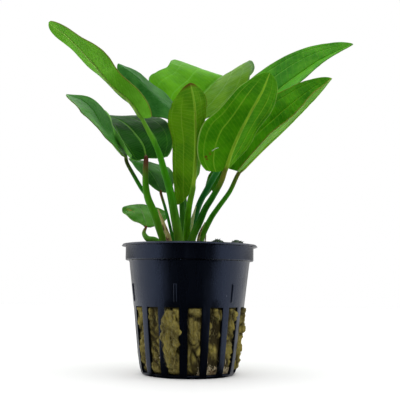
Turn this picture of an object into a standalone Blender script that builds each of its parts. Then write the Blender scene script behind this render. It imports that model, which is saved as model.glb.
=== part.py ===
"""A young echinodorus in a small slotted plastic pot, packed in rock wool.

Sizes are in millimetres and turned to metres by MM. The origin is the middle of the pot's foot,
+Z is up, +X is the plant's right and -Y its front.
"""

import math

import bmesh
import bpy
import numpy as np
from mathutils import Vector

MM = 0.001
GAP = 0.3  # left between pieces that touch

# The pot: outside and inside profiles, radius and height, from the rim down
POT_OUTSIDE = [(27.5, 52.0), (27.5, 51.3), (26.2, 51.1), (26.2, 45.4), (24.6, 45.0),
               (22.5, 27.0), (20.7, 9.3), (19.9, 3.6), (19.2, 1.4), (17.8, 0.0), (0.0, 0.0)]
POT_INSIDE = [(0.0, 1.2), (17.2, 1.2), (18.6, 3.6), (19.8, 9.5), (21.5, 27.0),
              (23.5, 45.6), (25.1, 46.2), (25.5, 52.0)]
POT_TURNS = 64
SLOTS = 16
SLOT_TURN = math.radians(6.7 - 90)  # the slot nearest the front
SLOT_ANGLE = math.radians(14.5)
SLOT_LOW, SLOT_HIGH = 1.4, 27.0
LUGS = 6
LUG_TURN = math.radians(-12.6 - 90)
LUG_WIDE, LUG_THICK, LUG_LOW, LUG_HIGH = 1.9, 0.5, 28.6, 36.4
FLOOR_SLITS = 8
FLOOR_SLIT = dict(near=5.0, far=14.0, wide=2.4)

# The rock wool plug: its radius follows the pot's inside, and it swells out through the slots
WOOL_LEVELS = (5.6, 6.8, 9.5, 13.0, 16.5, 20.0, 24.4, 26.2, 35.0, 43.0)
WOOL_CROWN = 45.2
WOOL_TURNS = (-6.9, -5.9, 0.0, 5.9, 6.9)  # degrees either side of a slot's middle
WOOL_SWELL = dict(least=-0.5, most=1.6)
TUFT = dict(turn=math.radians(-18.6 - 90), half_angle=math.radians(10.8), low=7.5, high=25.6,
            thick=1.3)
ROOTS = dict(low=1.5, high=5.2, radius=17.2)
CROWN = dict(low=45.5, high=47.6, radius=8.6)

# Each leaf: the way of its stalk, the way of its midrib, where its upper side faces, how wide its
# two halves are, how far they fold up at the base and at the tip, and the rounding of the blade.
# radius is the stalk's at its foot and at the blade.
LEAVES = {
    "leaf_long_left": dict(
        stalk=[(-3.2, -5, 48), (-4.3, -6.5, 53.5), (-6.3, -10, 64.3), (-8.1, -13, 73.1),
               (-10.1, -14.5, 79.6), (-13.3, -15.5, 89.2), (-19.7, -16, 101.4)],
        rib=[(-19.7, -16, 101.4), (-24.1, -17.5, 107.5), (-31.9, -19.5, 114), (-37.2, -21, 120.3),
             (-43, -22, 126.4), (-50, -22, 133.2), (-57, -20.5, 138.3)],
        face=[(0.62, 0.42, 0.65)], wide=(8.5, 6.7), fold=(20, 34), tip_fold=(-5, -14),
        form=(0.42, 0.3, 0.03), lobe=(2, 3), radius=(2.1, 0.8)),
    "leaf_back_left": dict(
        stalk=[(-2.4, 3.2, 48), (-3, 4, 60), (-4, 4.5, 80), (-4.6, 4.8, 98), (-4.7, 5, 107.4)],
        rib=[(-4.7, 5, 107.4), (-11.2, 5, 111.7), (-17.7, 4, 117.5), (-24.1, 2, 123.4),
             (-31.5, -1, 128)],
        face=[(0.4, -0.5, 0.75)], wide=(12, 11), fold=(-30, -12), form=(0.6, 0.4, 0.05),
        lobe=(3, 3), radius=(1.3, 0.8)),
    "leaf_outer_left": dict(
        stalk=[(-6, -0.9, 48), (-9.2, -2.5, 54), (-13.3, -3.3, 62.5), (-17.6, -3, 71.3),
               (-20.2, -3, 74.8), (-23.7, -4.2, 80.6), (-26.1, -5.6, 84.9), (-26.7, -6.3, 87.6)],
        rib=[(-26.7, -6.3, 87.6), (-29.7, -9.1, 90.5), (-33.3, -11.6, 94.9), (-36.2, -13.5, 99.3),
             (-39.5, -14, 104.7), (-43.5, -15, 108.2), (-50, -16, 110.5)],
        face=[(0.5, -0.5, 0.7), (0.5, -0.5, 0.7), (0.3, -0.6, 0.7)], wide=(8.3, 7.3),
        fold=(8, 10), form=(0.6, 0.45, 0.04), lobe=(1, 1), radius=(1.2, 0.8)),
    "leaf_broad_left": dict(
        stalk=[(-7.6, -4.8, 48), (-10.4, -7.5, 53.5), (-14.2, -8.5, 63.5), (-17.2, -8.5, 70.7),
               (-18.2, -8.5, 77.7), (-18.3, -6, 87)],
        rib=[(-18.3, -6, 87), (-19.7, -2, 92.4), (-22.7, 3, 97.4), (-27.8, 10, 103.8),
             (-33.5, 17, 108.5), (-40, 23, 111.7)],
        face=[(-0.1, -0.75, 0.6), (0, -0.65, 0.7), (0.1, -0.5, 0.8)], wide=(13, 14.5),
        fold=(12, 12), tip_fold=(12, -12), bend=(130, 0), form=(0.6, 0.45, 0.08), lobe=(2, 3),
        radius=(1.6, 1.1)),
    "leaf_small_left": dict(
        stalk=[(-5.4, 2.8, 48), (-6.6, 3.4, 52), (-9, 4.2, 62), (-10.9, 5.5, 68.5),
               (-12.6, 8, 73.7), (-12.9, 9, 75.2)],
        rib=[(-12.9, 9, 75.2), (-16.6, 11, 82.2), (-21.7, 14, 87.4), (-27.7, 17, 90.6)],
        face=[(0, -0.8, 0.6)], wide=(5.5, 8.5), fold=(10, -28), form=(0.7, 0.5, 0.03),
        lobe=(0, 1), radius=(0.9, 0.55)),
    "leaf_front_upright": dict(
        stalk=[(-1.2, -0.4, 48), (-1.3, -1.6, 54), (-0.6, -8, 65.5), (1.2, -13, 73.9)],
        rib=[(1.2, -13, 73.9), (1.8, -15, 80.1), (2, -17, 92.2), (1.6, -18, 104.4),
             (0.8, -18, 109.7), (-0.5, -17, 115.5)],
        face=[(0.1, 1, 0.2)], wide=(8, 11), fold=(95, 18), tip_fold=(38, 18),
        form=(0.4, 0.17, 0.015), lobe=(3, 8), lobe_reach=0.22, radius=(1.4, 0.95)),
    "leaf_back_large": dict(
        stalk=[(-0.6, 7, 48), (-2.2, 11, 62), (-3.8, 16, 85), (-4.4, 20, 98.4), (-3.8, 22, 109.7)],
        rib=[(-3.8, 22, 109.7), (1.4, 29, 119.5), (5.6, 35, 126), (9.6, 40, 131.6),
             (13.6, 46, 136.6), (17.4, 53, 138.3), (20.5, 60, 136)],
        face=[(-0.35, -0.75, 0.55), (-0.2, -0.6, 0.75), (0.1, -0.3, 1)], wide=(28.5, 22),
        fold=(58, 0), tip_fold=(0, 39), form=(0.5, 0.75, 0.03), lobe=(6, 6), radius=(1.5, 0.9)),
    "leaf_front_right": dict(
        stalk=[(0.9, -4.2, 48), (0.9, -5.6, 53.7), (4, -7, 61), (6.1, -9, 66), (8.6, -11, 69.9),
               (12.2, -12.7, 76.2), (13.8, -14, 80.8)],
        rib=[(13.8, -14, 80.8), (16.1, -16, 88.1), (19.7, -18, 96.2), (24.5, -19, 105.3),
             (28.2, -19, 112.2), (31.1, -18, 119.7)],
        face=[(-0.35, 0.85, 0.35)], wide=(10.5, 13.5), fold=(32, 6), tip_fold=(0, 42),
        form=(0.45, 0.3, 0.02), lobe=(-1, 2), radius=(1.6, 1.0)),
    "leaf_outer_right": dict(
        stalk=[(4.2, -1, 48), (4.6, -1.2, 54), (8.2, -2, 62.2), (11.4, -3, 67.1),
               (16.1, -3, 73.8), (19, -3, 80.1), (20.2, -3, 82.2)],
        rib=[(20.2, -3, 82.2), (29.3, -3, 91.5), (38.8, -3, 100.5), (47.2, -3, 109.1),
             (53.6, -2, 116.3), (59, -1, 122.8)],
        face=[(-0.4, -0.85, 0.35)], wide=(15.5, 11), fold=(18, 66), form=(0.62, 0.4, 0.05),
        lobe=(3, 1), radius=(1.6, 0.9)),
    "leaf_long_right": dict(
        stalk=[(1.6, 3.2, 48), (1.1, 5.5, 58), (3.3, 7, 68.5), (7.3, 8, 76.9), (12.7, 9, 86.6)],
        rib=[(12.7, 9, 86.6), (19.1, 11, 98.4), (28.7, 12, 111.2), (38.8, 12, 121.9),
             (52.4, 11, 132.1), (62.4, 10, 137.8), (70.1, 8, 141)],
        face=[(-0.42, -0.78, 0.48), (-0.42, -0.78, 0.48), (-0.35, -0.78, 0.5)],
        wide=(15.5, 12.5), fold=(12, 26), form=(0.7, 0.45, 0.02), lobe=(3, 1),
        lobe_reach=0.2, radius=(1.4, 1.15)),
    "leaf_low_left": dict(
        stalk=[(-9.6, 1.2, 48), (-11.6, 0.6, 51), (-14.2, -0.2, 53.4), (-17.4, -0.6, 54.3),
               (-19, 0.4, 56.6), (-18.3, 2.5, 59.4)],
        rib=[(-18.3, 2.5, 59.4), (-19.1, 6, 62.6), (-20.8, 11, 66.6), (-22.8, 16, 70.2)],
        face=[(-0.1, -0.7, 0.7)], wide=(8.7, 11.2), fold=(14, -14), form=(0.45, 0.7, 0.03),
        lobe=(0, 0), radius=(1.5, 0.5)),
    "leaf_small_right": dict(
        stalk=[(2.3, 7.6, 48), (1.4, 9.5, 58.3), (3.3, 11.5, 69), (8.8, 13, 77)],
        rib=[(8.8, 13, 77), (10.6, 14.3, 82), (12.2, 15.5, 87.5)],
        face=[(-0.3, -0.85, 0.4)], wide=(3.4, 3.4), fold=(8, 8), form=(0.5, 0.4, 0.1),
        lobe=(1.5, 1.5), radius=(0.8, 0.5)),
}
LEAF_THICK = 0.6
LEAF_ROWS, LEAF_COLUMNS = 8, 6
RIB_SHARE = 0.3  # how far up the blade the stalk runs on as a keel
STALK_SIDES = 6

# Dry skins between the stalks: a way, a width and where the broad side faces
SHEATHS = {
    "sheath_left": dict(way=[(-7.1, -9.0, 48.5), (-8.2, -10.4, 53.5), (-10.0, -11.6, 58.5),
                             (-12.7, -12.6, 65.5)], wide=2.6, face=(0.25, -1, 0.2)),
    "sheath_middle": dict(way=[(-0.6, 1.6, 49), (-0.4, 1.4, 55), (0.6, 0.6, 61),
                               (2.3, 0.2, 68)], wide=2.6, face=(0.2, -1, 0.1)),
    "sheath_right": dict(way=[(3.6, -3.8, 48.6), (3.5, -4.0, 53.4), (4.4, -4.1, 57.5),
                              (6.2, -4.4, 61)], wide=1.6, face=(-0.3, -1, 0.2)),
}
SHEATH_THICK = 0.4

STUB = dict(foot=(6.4, 2.0, 47.6), tip=(6.6, 2.2, 56.4), radius=0.45)
MOSS = {
    "moss_near_crown": dict(centre=(11.6, 7.0, 50.6), size=(4.4, 4.0, 4.6)),
    "moss_by_rim": dict(centre=(19.4, 4.0, 50.2), size=(3.9, 3.8, 4.2)),
}


def clear_scene():
    for thing in list(bpy.data.objects):
        bpy.data.objects.remove(thing, do_unlink=True)


def material(name, colour, roughness, metallic=0.0):
    made = bpy.data.materials.new(name)
    made.use_nodes = True
    shader = made.node_tree.nodes["Principled BSDF"]
    shader.inputs["Base Color"].default_value = (*colour, 1)
    shader.inputs["Roughness"].default_value = roughness
    shader.inputs["Metallic"].default_value = metallic
    return made


def add_object(name, mesh, finish=None):
    thing = bpy.data.objects.new(name, mesh)
    bpy.context.scene.collection.objects.link(thing)
    if finish:
        mesh.materials.append(finish)
    return thing


def object_from(name, shape, finish=None):
    mesh = bpy.data.meshes.new(name)
    shape.to_mesh(mesh)
    shape.free()
    return add_object(name, mesh, finish)


def smooth_shade(mesh, angle=40):
    mesh.shade_smooth()
    mesh.set_sharp_from_angle(angle=math.radians(angle))


def bake(thing):
    """Turns the object's modifiers, or its curve, into plain mesh."""
    bpy.context.view_layer.update()
    graph = bpy.context.evaluated_depsgraph_get()
    mesh = bpy.data.meshes.new_from_object(thing.evaluated_get(graph), depsgraph=graph)
    mesh.name = thing.name
    name, finishes = thing.name, list(thing.data.materials)
    bpy.data.objects.remove(thing, do_unlink=True)
    made = add_object(name, mesh)
    mesh.materials.clear()
    for finish in finishes:
        mesh.materials.append(finish)
    return made


def join_solids(body, other):
    """Body and other as one closed solid."""
    union = body.modifiers.new("Union", "BOOLEAN")
    union.operation = "UNION"
    union.object = other
    body = bake(body)
    bpy.data.objects.remove(other, do_unlink=True)
    return body


def smooth_way(points, count):
    """Count points evenly spaced on a smooth curve through the given ones."""
    p = np.asarray(points, float)
    q = np.vstack([2 * p[0] - p[1], p, 2 * p[-1] - p[-2]])
    t = np.linspace(0, 1, 24, endpoint=False)[:, None]
    runs = []
    for i in range(1, len(q) - 2):
        a, b, c, d = q[i - 1:i + 3]
        curve = 2 * b + (c - a) * t + (2 * a - 5 * b + 4 * c - d) * t**2
        runs.append(0.5 * (curve + (3 * b - a - 3 * c + d) * t**3))
    fine = np.vstack(runs + [p[-1:]])
    along = np.concatenate([[0], np.cumsum(np.linalg.norm(np.diff(fine, axis=0), axis=1))])
    wanted = np.linspace(0, along[-1], count)
    return np.stack([np.interp(wanted, along, fine[:, k]) for k in range(3)], axis=-1)


def unit(rows):
    return rows / np.linalg.norm(rows, axis=-1, keepdims=True)


def between(rows, t):
    """The rows, taken as evenly spaced from 0 to 1, read at each t."""
    rows = np.asarray(rows, float)
    if len(rows) == 1:
        return np.repeat(rows, len(t), axis=0)
    spots = np.linspace(0, 1, len(rows))
    return np.stack([np.interp(t, spots, rows[:, k]) for k in range(3)], axis=-1)


def blade_width(t, form):
    """The width of a blade at t, as a share of its widest: round base, pointed tip."""
    blunt, swell, base = form
    peak = max(0, (swell - blunt * base) / (blunt + swell))
    top = (1 - peak)**blunt * (peak + base)**swell
    return np.maximum(1 - t, 0)**blunt * (t + base)**swell / top


def blade_points(leaf, rows, columns):
    """The middle surface of a blade, as rows from base to tip and columns from left to right."""
    t = (1 - np.cos(np.linspace(0, math.pi, rows + 1))) / 2
    fine = smooth_way(leaf["rib"], 200)
    rib = between(fine, t)
    along = unit(between(unit(np.gradient(fine, axis=0)), t))
    face = between(unit(np.asarray(leaf["face"], float)), t)
    side = unit(np.cross(along, face))
    upper = np.cross(side, along)
    width = blade_width(t, leaf["form"])
    tip_fold = leaf.get("tip_fold", leaf["fold"])
    bend = leaf.get("bend", (0, 0))
    reach = leaf.get("lobe_reach", 0.3)
    points = np.zeros((rows + 1, columns + 1, 3))
    for j, across in enumerate(np.linspace(-1, 1, columns + 1)):
        half = 0 if across < 0 else 1
        out = abs(across)
        steps = (np.arange(12) + 0.5) / 12 * out
        turn = leaf["fold"][half] + (tip_fold[half] - leaf["fold"][half]) * t[:, None]
        turn = np.radians(turn + bend[half] * steps[None, :]**3)
        wide = leaf["wide"][half] * width * out
        sideways = np.sign(across) * wide * np.cos(turn).mean(axis=1)
        raised = wide * np.sin(turn).mean(axis=1)
        back = leaf["lobe"][half] * np.maximum(0, 1 - t / reach)**2 * math.sin(out * math.pi / 2)
        points[:, j] = rib + side * sideways[:, None] + upper * raised[:, None]
        points[:, j] -= along[0] * back[:, None]
    return points, upper


def grid_mesh(name, points, finish):
    """A sheet with one vertex for each point of a grid."""
    rows, columns = points.shape[:2]
    shape = bmesh.new()
    bmesh.ops.create_grid(shape, x_segments=columns - 1, y_segments=rows - 1, size=1)
    shape.verts.ensure_lookup_table()
    for vert, place in zip(shape.verts, points.reshape(-1, 3)):
        vert.co = Vector(place) * MM
    bmesh.ops.remove_doubles(shape, verts=shape.verts, dist=2e-5)
    return object_from(name, shape, finish)


def tube(name, way, radii, sides, finish):
    """A tube of changing radius along a way, with closed ends."""
    curve = bpy.data.curves.new(name, "CURVE")
    curve.dimensions = "3D"
    curve.bevel_depth = MM
    curve.bevel_resolution = (sides - 4) // 2
    curve.use_fill_caps = True
    spline = curve.splines.new("POLY")
    spline.points.add(len(way) - 1)
    for point, place, radius in zip(spline.points, way, radii):
        point.co = (*(Vector(place) * MM), 1)
        point.radius = radius
    thing = bpy.data.objects.new(name, curve)
    bpy.context.scene.collection.objects.link(thing)
    made = bake(thing)
    made.data.materials.append(finish)
    shape = bmesh.new()
    shape.from_mesh(made.data)
    bmesh.ops.remove_doubles(shape, verts=shape.verts, dist=1e-6)
    shape.to_mesh(made.data)
    shape.free()
    return made


def make_leaf(name, leaf, finish):
    """A blade and its stalk, grown as one."""
    points, upper = blade_points(leaf, LEAF_ROWS, LEAF_COLUMNS)
    blade = grid_mesh(name, points, finish)
    wall = blade.modifiers.new("Thickness", "SOLIDIFY")
    wall.thickness = LEAF_THICK * MM
    wall.offset = 0
    blade = bake(blade)
    foot, top = leaf["radius"]
    stalk = smooth_way(leaf["stalk"], 9)
    rib = smooth_way(leaf["rib"], 41)
    keel = rib[4:int(40 * RIB_SHARE):4] - upper[0] * 0.35 * top
    way = np.vstack([stalk, keel])
    radii = np.concatenate([np.linspace(foot, top, len(stalk)),
                            np.linspace(top, 0.4, len(keel) + 1)[1:]])
    stem = tube(name + "_stalk", way, radii, STALK_SIDES, finish)
    leaf_body = join_solids(blade, stem)
    smooth_shade(leaf_body.data, 60)
    return leaf_body


def turned(name, profile, turns, finish):
    """A solid of revolution from a profile that runs down the outside and back up the inside."""
    shape = bmesh.new()
    ring = [shape.verts.new((r * MM, 0, z * MM)) for r, z in profile]
    for a, b in zip(ring, ring[1:]):
        shape.edges.new((a, b))
    if profile[0][0] > 0 and profile[-1][0] > 0:
        shape.edges.new((ring[-1], ring[0]))
    thing = object_from(name, shape, finish)
    screw = thing.modifiers.new("Turn", "SCREW")
    screw.steps = turns
    screw.render_steps = turns
    screw.use_merge_vertices = True
    screw.merge_threshold = 1e-5
    screw.use_smooth_shade = True
    return thing


def boxes_round(name, count, first_turn, near, far, half_width, low, high):
    """Boxes set out evenly round the axis, each from radius near to far, as one object."""
    shape = bmesh.new()
    for k in range(count):
        turn = first_turn + k * math.tau / count
        made = bmesh.ops.create_cube(shape, size=1)["verts"]
        out = Vector((math.cos(turn), math.sin(turn), 0))
        side = Vector((-out.y, out.x, 0))
        for vert in made:
            reach = near if vert.co.x < 0 else far
            wide = half_width(reach) * (1 if vert.co.y > 0 else -1)
            height = low if vert.co.z < 0 else high
            vert.co = (out * reach + side * wide + Vector((0, 0, height))) * MM
    return object_from(name, shape)


def hide_cutter(cutter):
    cutter.hide_render = True
    cutter.display_type = "WIRE"
    return cutter


def cut(thing, cutter):
    hole = thing.modifiers.new("Cut", "BOOLEAN")
    hole.operation = "DIFFERENCE"
    hole.object = hide_cutter(cutter)


def make_pot(finish):
    pot = turned("net_pot", POT_OUTSIDE + POT_INSIDE, POT_TURNS, finish)
    lugs = boxes_round("lugs", LUGS, LUG_TURN, 22.2, 23.4, lambda r: LUG_WIDE / 2,
                       LUG_LOW, LUG_HIGH)
    lean = (24.6 - 22.5) / (45.0 - 27.0)
    for vert in lugs.data.vertices:
        out = Vector((vert.co.x, vert.co.y, 0))
        reach = out.length / MM
        wall = 22.5 + (vert.co.z / MM - 27.0) * lean
        target = wall + LUG_THICK if reach > 22.9 else wall - 0.4
        vert.co.xy = (out.normalized() * target * MM).xy
    ribs = pot.modifiers.new("Lugs", "BOOLEAN")
    ribs.operation = "UNION"
    ribs.object = hide_cutter(lugs)
    slots = boxes_round("slot_cutters", SLOTS, SLOT_TURN, 15.8, 26.0,
                        lambda r: r * math.tan(SLOT_ANGLE / 2), SLOT_LOW, SLOT_HIGH)
    cut(pot, slots)
    slits = boxes_round("floor_cutters", FLOOR_SLITS, SLOT_TURN + math.pi / SLOTS,
                        FLOOR_SLIT["near"], FLOOR_SLIT["far"],
                        lambda r: FLOOR_SLIT["wide"] / 2, -1.0, 3.0)
    cut(pot, slits)
    return pot


def inside_radius(height):
    """The pot's inner radius at a height."""
    inner = [(z, r) for r, z in POT_INSIDE[1:]]
    return float(np.interp(height, [z for z, _ in inner], [r for _, r in inner]))


def outside_radius(height):
    outer = sorted((z, r) for r, z in POT_OUTSIDE[4:-1])
    return float(np.interp(height, [z for z, _ in outer], [r for _, r in outer]))


def wool_swell(slot, height):
    """How far the wool stands out of a slot, from a few slow waves."""
    wave = math.sin(2.1 * slot + 0.7) + math.sin(0.33 * height + 1.7 * slot)
    share = 0.5 + 0.25 * wave
    return WOOL_SWELL["least"] + share * (WOOL_SWELL["most"] - WOOL_SWELL["least"])


def make_wool(finish):
    """The plug: rings of points round the axis, pinched behind the bars and swollen at slots."""
    shape = bmesh.new()
    rings = []
    for height in WOOL_LEVELS:
        ring = []
        for slot in range(SLOTS):
            for offset in WOOL_TURNS:
                turn = SLOT_TURN + slot * math.tau / SLOTS + math.radians(offset)
                radius = inside_radius(height) - GAP - 0.1
                if abs(offset) < 6 and WOOL_LEVELS[1] < height < WOOL_LEVELS[7]:
                    radius = outside_radius(height) + wool_swell(slot, height)
                place = Vector((radius * math.cos(turn), radius * math.sin(turn), height))
                ring.append(shape.verts.new(place * MM))
        rings.append(ring)
    for lower, upper in zip(rings, rings[1:]):
        for k in range(len(lower)):
            n = (k + 1) % len(lower)
            shape.faces.new((lower[k], lower[n], upper[n], upper[k]))
    top = shape.verts.new((0, 0, WOOL_CROWN * MM))
    bottom = shape.verts.new((0, 0, WOOL_LEVELS[0] * MM))
    for k in range(len(rings[0])):
        n = (k + 1) % len(rings[0])
        shape.faces.new((rings[-1][k], rings[-1][n], top))
        shape.faces.new((rings[0][n], rings[0][k], bottom))
    plug = object_from("rock_wool", shape, finish)
    plug = join_solids(plug, make_tuft())
    smooth_shade(plug.data, 50)
    return plug


def make_tuft():
    """A tongue of wool pulled out through one slot and spread over the bars beside it."""
    rows, columns = 6, 6
    points = np.zeros((rows + 1, columns + 1, 3))
    for i in range(rows + 1):
        height = TUFT["low"] + (TUFT["high"] - TUFT["low"]) * i / rows
        share = math.sin(math.pi * (0.08 + 0.84 * i / rows))**0.5
        for j in range(columns + 1):
            across = (2 * j / columns - 1) * share
            turn = TUFT["turn"] + TUFT["half_angle"] * across
            radius = outside_radius(height) + GAP + 0.75 + 0.15 * math.cos(math.pi * across / 2)
            points[i, j] = (radius * math.cos(turn), radius * math.sin(turn), height)
    sheet = grid_mesh("tuft", points, None)
    wall = sheet.modifiers.new("Thickness", "SOLIDIFY")
    wall.thickness = TUFT["thick"] * MM
    wall.offset = 0
    return bake(sheet)


def lump(name, centre, size, finish, squash=0.12, subdivisions=2):
    """A rounded, uneven clump."""
    shape = bmesh.new()
    bmesh.ops.create_icosphere(shape, subdivisions=subdivisions, radius=1)
    for vert in shape.verts:
        x, y, z = vert.co
        uneven = 1 + squash * math.sin(5 * x + 2 * y) * math.cos(4 * z - 3 * y)
        vert.co = (Vector(centre) + Vector((x * size[0], y * size[1], z * size[2])) * uneven) * MM
    thing = object_from(name, shape, finish)
    smooth_shade(thing.data, 60)
    return thing


def make_roots(finish):
    """The mat of roots under the wool."""
    low, high, radius = ROOTS["low"], ROOTS["high"], ROOTS["radius"]
    profile = [(0.0, high), (radius - 3, high), (radius - 0.4, high - 1.2), (radius - 0.6, low + 1),
               (radius - 1.6, low), (0.0, low)]
    return turned("root_mat", profile, 20, finish)


def make_crown(finish):
    """The short stock that the leaves grow from, set in the top of the wool."""
    low, high, radius = CROWN["low"], CROWN["high"], CROWN["radius"]
    profile = [(0.0, high), (radius - 2.2, high - 0.2), (radius - 0.5, high - 0.7), (radius, low + 0.4),
               (radius - 0.6, low), (0.0, low)]
    return turned("crown", profile, 16, finish)


def make_sheath(name, sheath, finish):
    """A thin dry ribbon that narrows to a point."""
    way = smooth_way(sheath["way"], 8)
    along = unit(np.gradient(way, axis=0))
    side = unit(np.cross(along, np.asarray(sheath["face"], float)))
    points = np.zeros((8, 3, 3))
    for i in range(8):
        wide = sheath["wide"] / 2 * (1 - 0.85 * (i / 7)**1.5)
        for j in range(3):
            points[i, j] = way[i] + side[i] * wide * (j - 1)
    sheet = grid_mesh(name, points, finish)
    wall = sheet.modifiers.new("Thickness", "SOLIDIFY")
    wall.thickness = SHEATH_THICK * MM
    wall.offset = 0
    return sheet


def main():
    clear_scene()
    plastic = material("black plastic", (0.012, 0.014, 0.022), 0.42)
    wool = material("rock wool", (0.20, 0.18, 0.06), 0.95)
    root = material("root", (0.42, 0.36, 0.24), 0.8)
    stock = material("crown", (0.10, 0.09, 0.04), 0.8)
    green = material("leaf", (0.09, 0.27, 0.03), 0.35)
    dry = material("dry sheath", (0.30, 0.21, 0.10), 0.7)
    moss = material("moss", (0.03, 0.09, 0.03), 0.7)
    make_pot(plastic)
    make_wool(wool)
    make_roots(root)
    make_crown(stock)
    for name, leaf in LEAVES.items():
        make_leaf(name, leaf, green)
    for name, sheath in SHEATHS.items():
        make_sheath(name, sheath, dry)
    tube("dry_stub", [STUB["foot"], STUB["tip"]], [STUB["radius"], STUB["radius"] * 0.5], 6, dry)
    for name, clump in MOSS.items():
        lump(name, clump["centre"], clump["size"], moss)


main()
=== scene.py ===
import math
import random

import bpy
import numpy as np
from mathutils import Matrix, Vector, noise


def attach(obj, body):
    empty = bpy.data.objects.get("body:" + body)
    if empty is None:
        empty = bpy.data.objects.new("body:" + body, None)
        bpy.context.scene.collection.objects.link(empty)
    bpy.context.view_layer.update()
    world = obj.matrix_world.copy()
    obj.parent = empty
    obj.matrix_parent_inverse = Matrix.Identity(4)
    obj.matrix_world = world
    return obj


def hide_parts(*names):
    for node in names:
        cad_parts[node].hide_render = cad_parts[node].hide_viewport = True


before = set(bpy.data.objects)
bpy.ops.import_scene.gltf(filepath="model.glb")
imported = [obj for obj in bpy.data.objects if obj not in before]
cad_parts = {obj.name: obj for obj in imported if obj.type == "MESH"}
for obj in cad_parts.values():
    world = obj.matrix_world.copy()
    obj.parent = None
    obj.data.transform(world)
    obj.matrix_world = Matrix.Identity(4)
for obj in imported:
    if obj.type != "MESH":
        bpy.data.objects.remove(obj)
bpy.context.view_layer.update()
mm = 0.001  # every place and size below is in millimetres, from the middle of the pot's foot
mapName = "skinMap"  # the map that a grid brings with it
print("solids are in")


# small helpers for meshes

def freshStart():
    if bpy.context.object and bpy.context.object.mode != "OBJECT":
        bpy.ops.object.mode_set(mode="OBJECT")
    bpy.ops.object.select_all(action="DESELECT")


def pick(piece):
    freshStart()
    piece.select_set(True)
    bpy.context.view_layer.objects.active = piece
    return piece


def applyModifier(piece, name):
    pick(piece)
    bpy.ops.object.modifier_apply(modifier=name)


def settle(piece):
    # place, turn and scale go into the mesh
    pick(piece)
    bpy.ops.object.transform_apply(location=True, rotation=True, scale=True)
    return piece


def cleanUp(piece, reach=0.004, turnOut=True):
    # merges doubles and turns the faces out
    pick(piece)
    bpy.ops.object.mode_set(mode="EDIT")
    bpy.ops.mesh.select_all(action="SELECT")
    bpy.ops.mesh.remove_doubles(threshold=reach * mm)
    if turnOut:
        bpy.ops.mesh.normals_make_consistent(inside=False)
    bpy.ops.object.mode_set(mode="OBJECT")
    return piece


def smoothOff(piece, angle=60):
    pick(piece)
    bpy.ops.object.shade_smooth_by_angle(angle=math.radians(angle))
    return piece


def selectFaces(piece, chosen):
    # in edit mode, with only the wanted faces selected
    pick(piece)
    bpy.ops.object.mode_set(mode="EDIT")
    bpy.ops.mesh.select_mode(type="FACE")
    bpy.ops.mesh.select_all(action="DESELECT")
    bpy.ops.object.mode_set(mode="OBJECT")
    for face in piece.data.polygons:
        face.select = chosen(face)
    bpy.ops.object.mode_set(mode="EDIT")


def joinPieces(pieces, name):
    freshStart()
    for piece in pieces:
        piece.select_set(True)
    bpy.context.view_layer.objects.active = pieces[0]
    if len(pieces) > 1:
        bpy.ops.object.join()
    joined = bpy.context.object
    joined.name = name
    joined.data.name = name
    return joined


def thicken(piece, thickness, offset=0.0, lowerSlot=0, rimSlot=0, even=False):
    wall = piece.modifiers.new("wall", "SOLIDIFY")
    wall.thickness = thickness * mm
    wall.offset = offset
    wall.use_even_offset = even
    wall.material_offset = lowerSlot
    wall.material_offset_rim = rimSlot
    applyModifier(piece, "wall")
    return piece


def gridPiece(name, points, uvs=None):
    # a grid primitive whose vertices are laid on the given rows and columns of places
    rows, columns = points.shape[:2]
    freshStart()
    bpy.ops.mesh.primitive_grid_add(x_subdivisions=columns - 1, y_subdivisions=rows - 1, size=1)
    piece = bpy.context.object
    piece.name = name
    piece.data.name = name
    piece.data.vertices.foreach_set("co", (points.reshape(-1, 3) * mm).ravel())
    if uvs is not None:
        corner = np.zeros(len(piece.data.loops), dtype=int)
        piece.data.loops.foreach_get("vertex_index", corner)
        piece.data.uv_layers[0].name = mapName
        piece.data.uv_layers[0].data.foreach_set("uv", uvs.reshape(-1, 2)[corner].ravel())
    piece.data.update()
    return piece


def around(radius, turn, height):
    # a place at that turn round the pot's axis
    return radius * math.cos(turn), radius * math.sin(turn), height


def shares(count):
    # that many numbers, evenly from 0 to 1
    return [k / (count - 1) for k in range(count)]


def distances(way):
    # how far along the way each of its places lies
    return np.concatenate([[0], np.cumsum(np.linalg.norm(np.diff(way, axis=0), axis=1))])


def smoothWay(points, count):
    # count places spread evenly on a smooth curve through the given ones
    p = np.asarray(points, float)
    q = np.vstack([2 * p[0] - p[1], p, 2 * p[-1] - p[-2]])
    t = np.linspace(0, 1, 24, endpoint=False)[:, None]
    runs = []
    for i in range(1, len(q) - 2):
        a, b, c, d = q[i - 1:i + 3]
        curve = 2 * b + (c - a) * t + (2 * a - 5 * b + 4 * c - d) * t**2
        runs.append(0.5 * (curve + (3 * b - a - 3 * c + d) * t**3))
    fine = np.vstack(runs + [p[-1:]])
    along = distances(fine)
    wanted = np.linspace(0, along[-1], count)
    return np.stack([np.interp(wanted, along, fine[:, k]) for k in range(3)], axis=-1)


def unit(rows):
    return rows / np.maximum(np.linalg.norm(rows, axis=-1, keepdims=True), 1e-9)


def between(rows, t):
    # the rows, spread evenly from 0 to 1, read at the given shares
    rows = np.asarray(rows, float)
    if len(rows) == 1:
        return np.repeat(rows, len(t), axis=0)
    spots = np.linspace(0, 1, len(rows))
    return np.stack([np.interp(t, spots, rows[:, k]) for k in range(3)], axis=-1)


def smoothStep(low, high, value):
    t = np.clip((value - low) / (high - low), 0, 1)
    return t * t * (3 - 2 * t)


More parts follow.
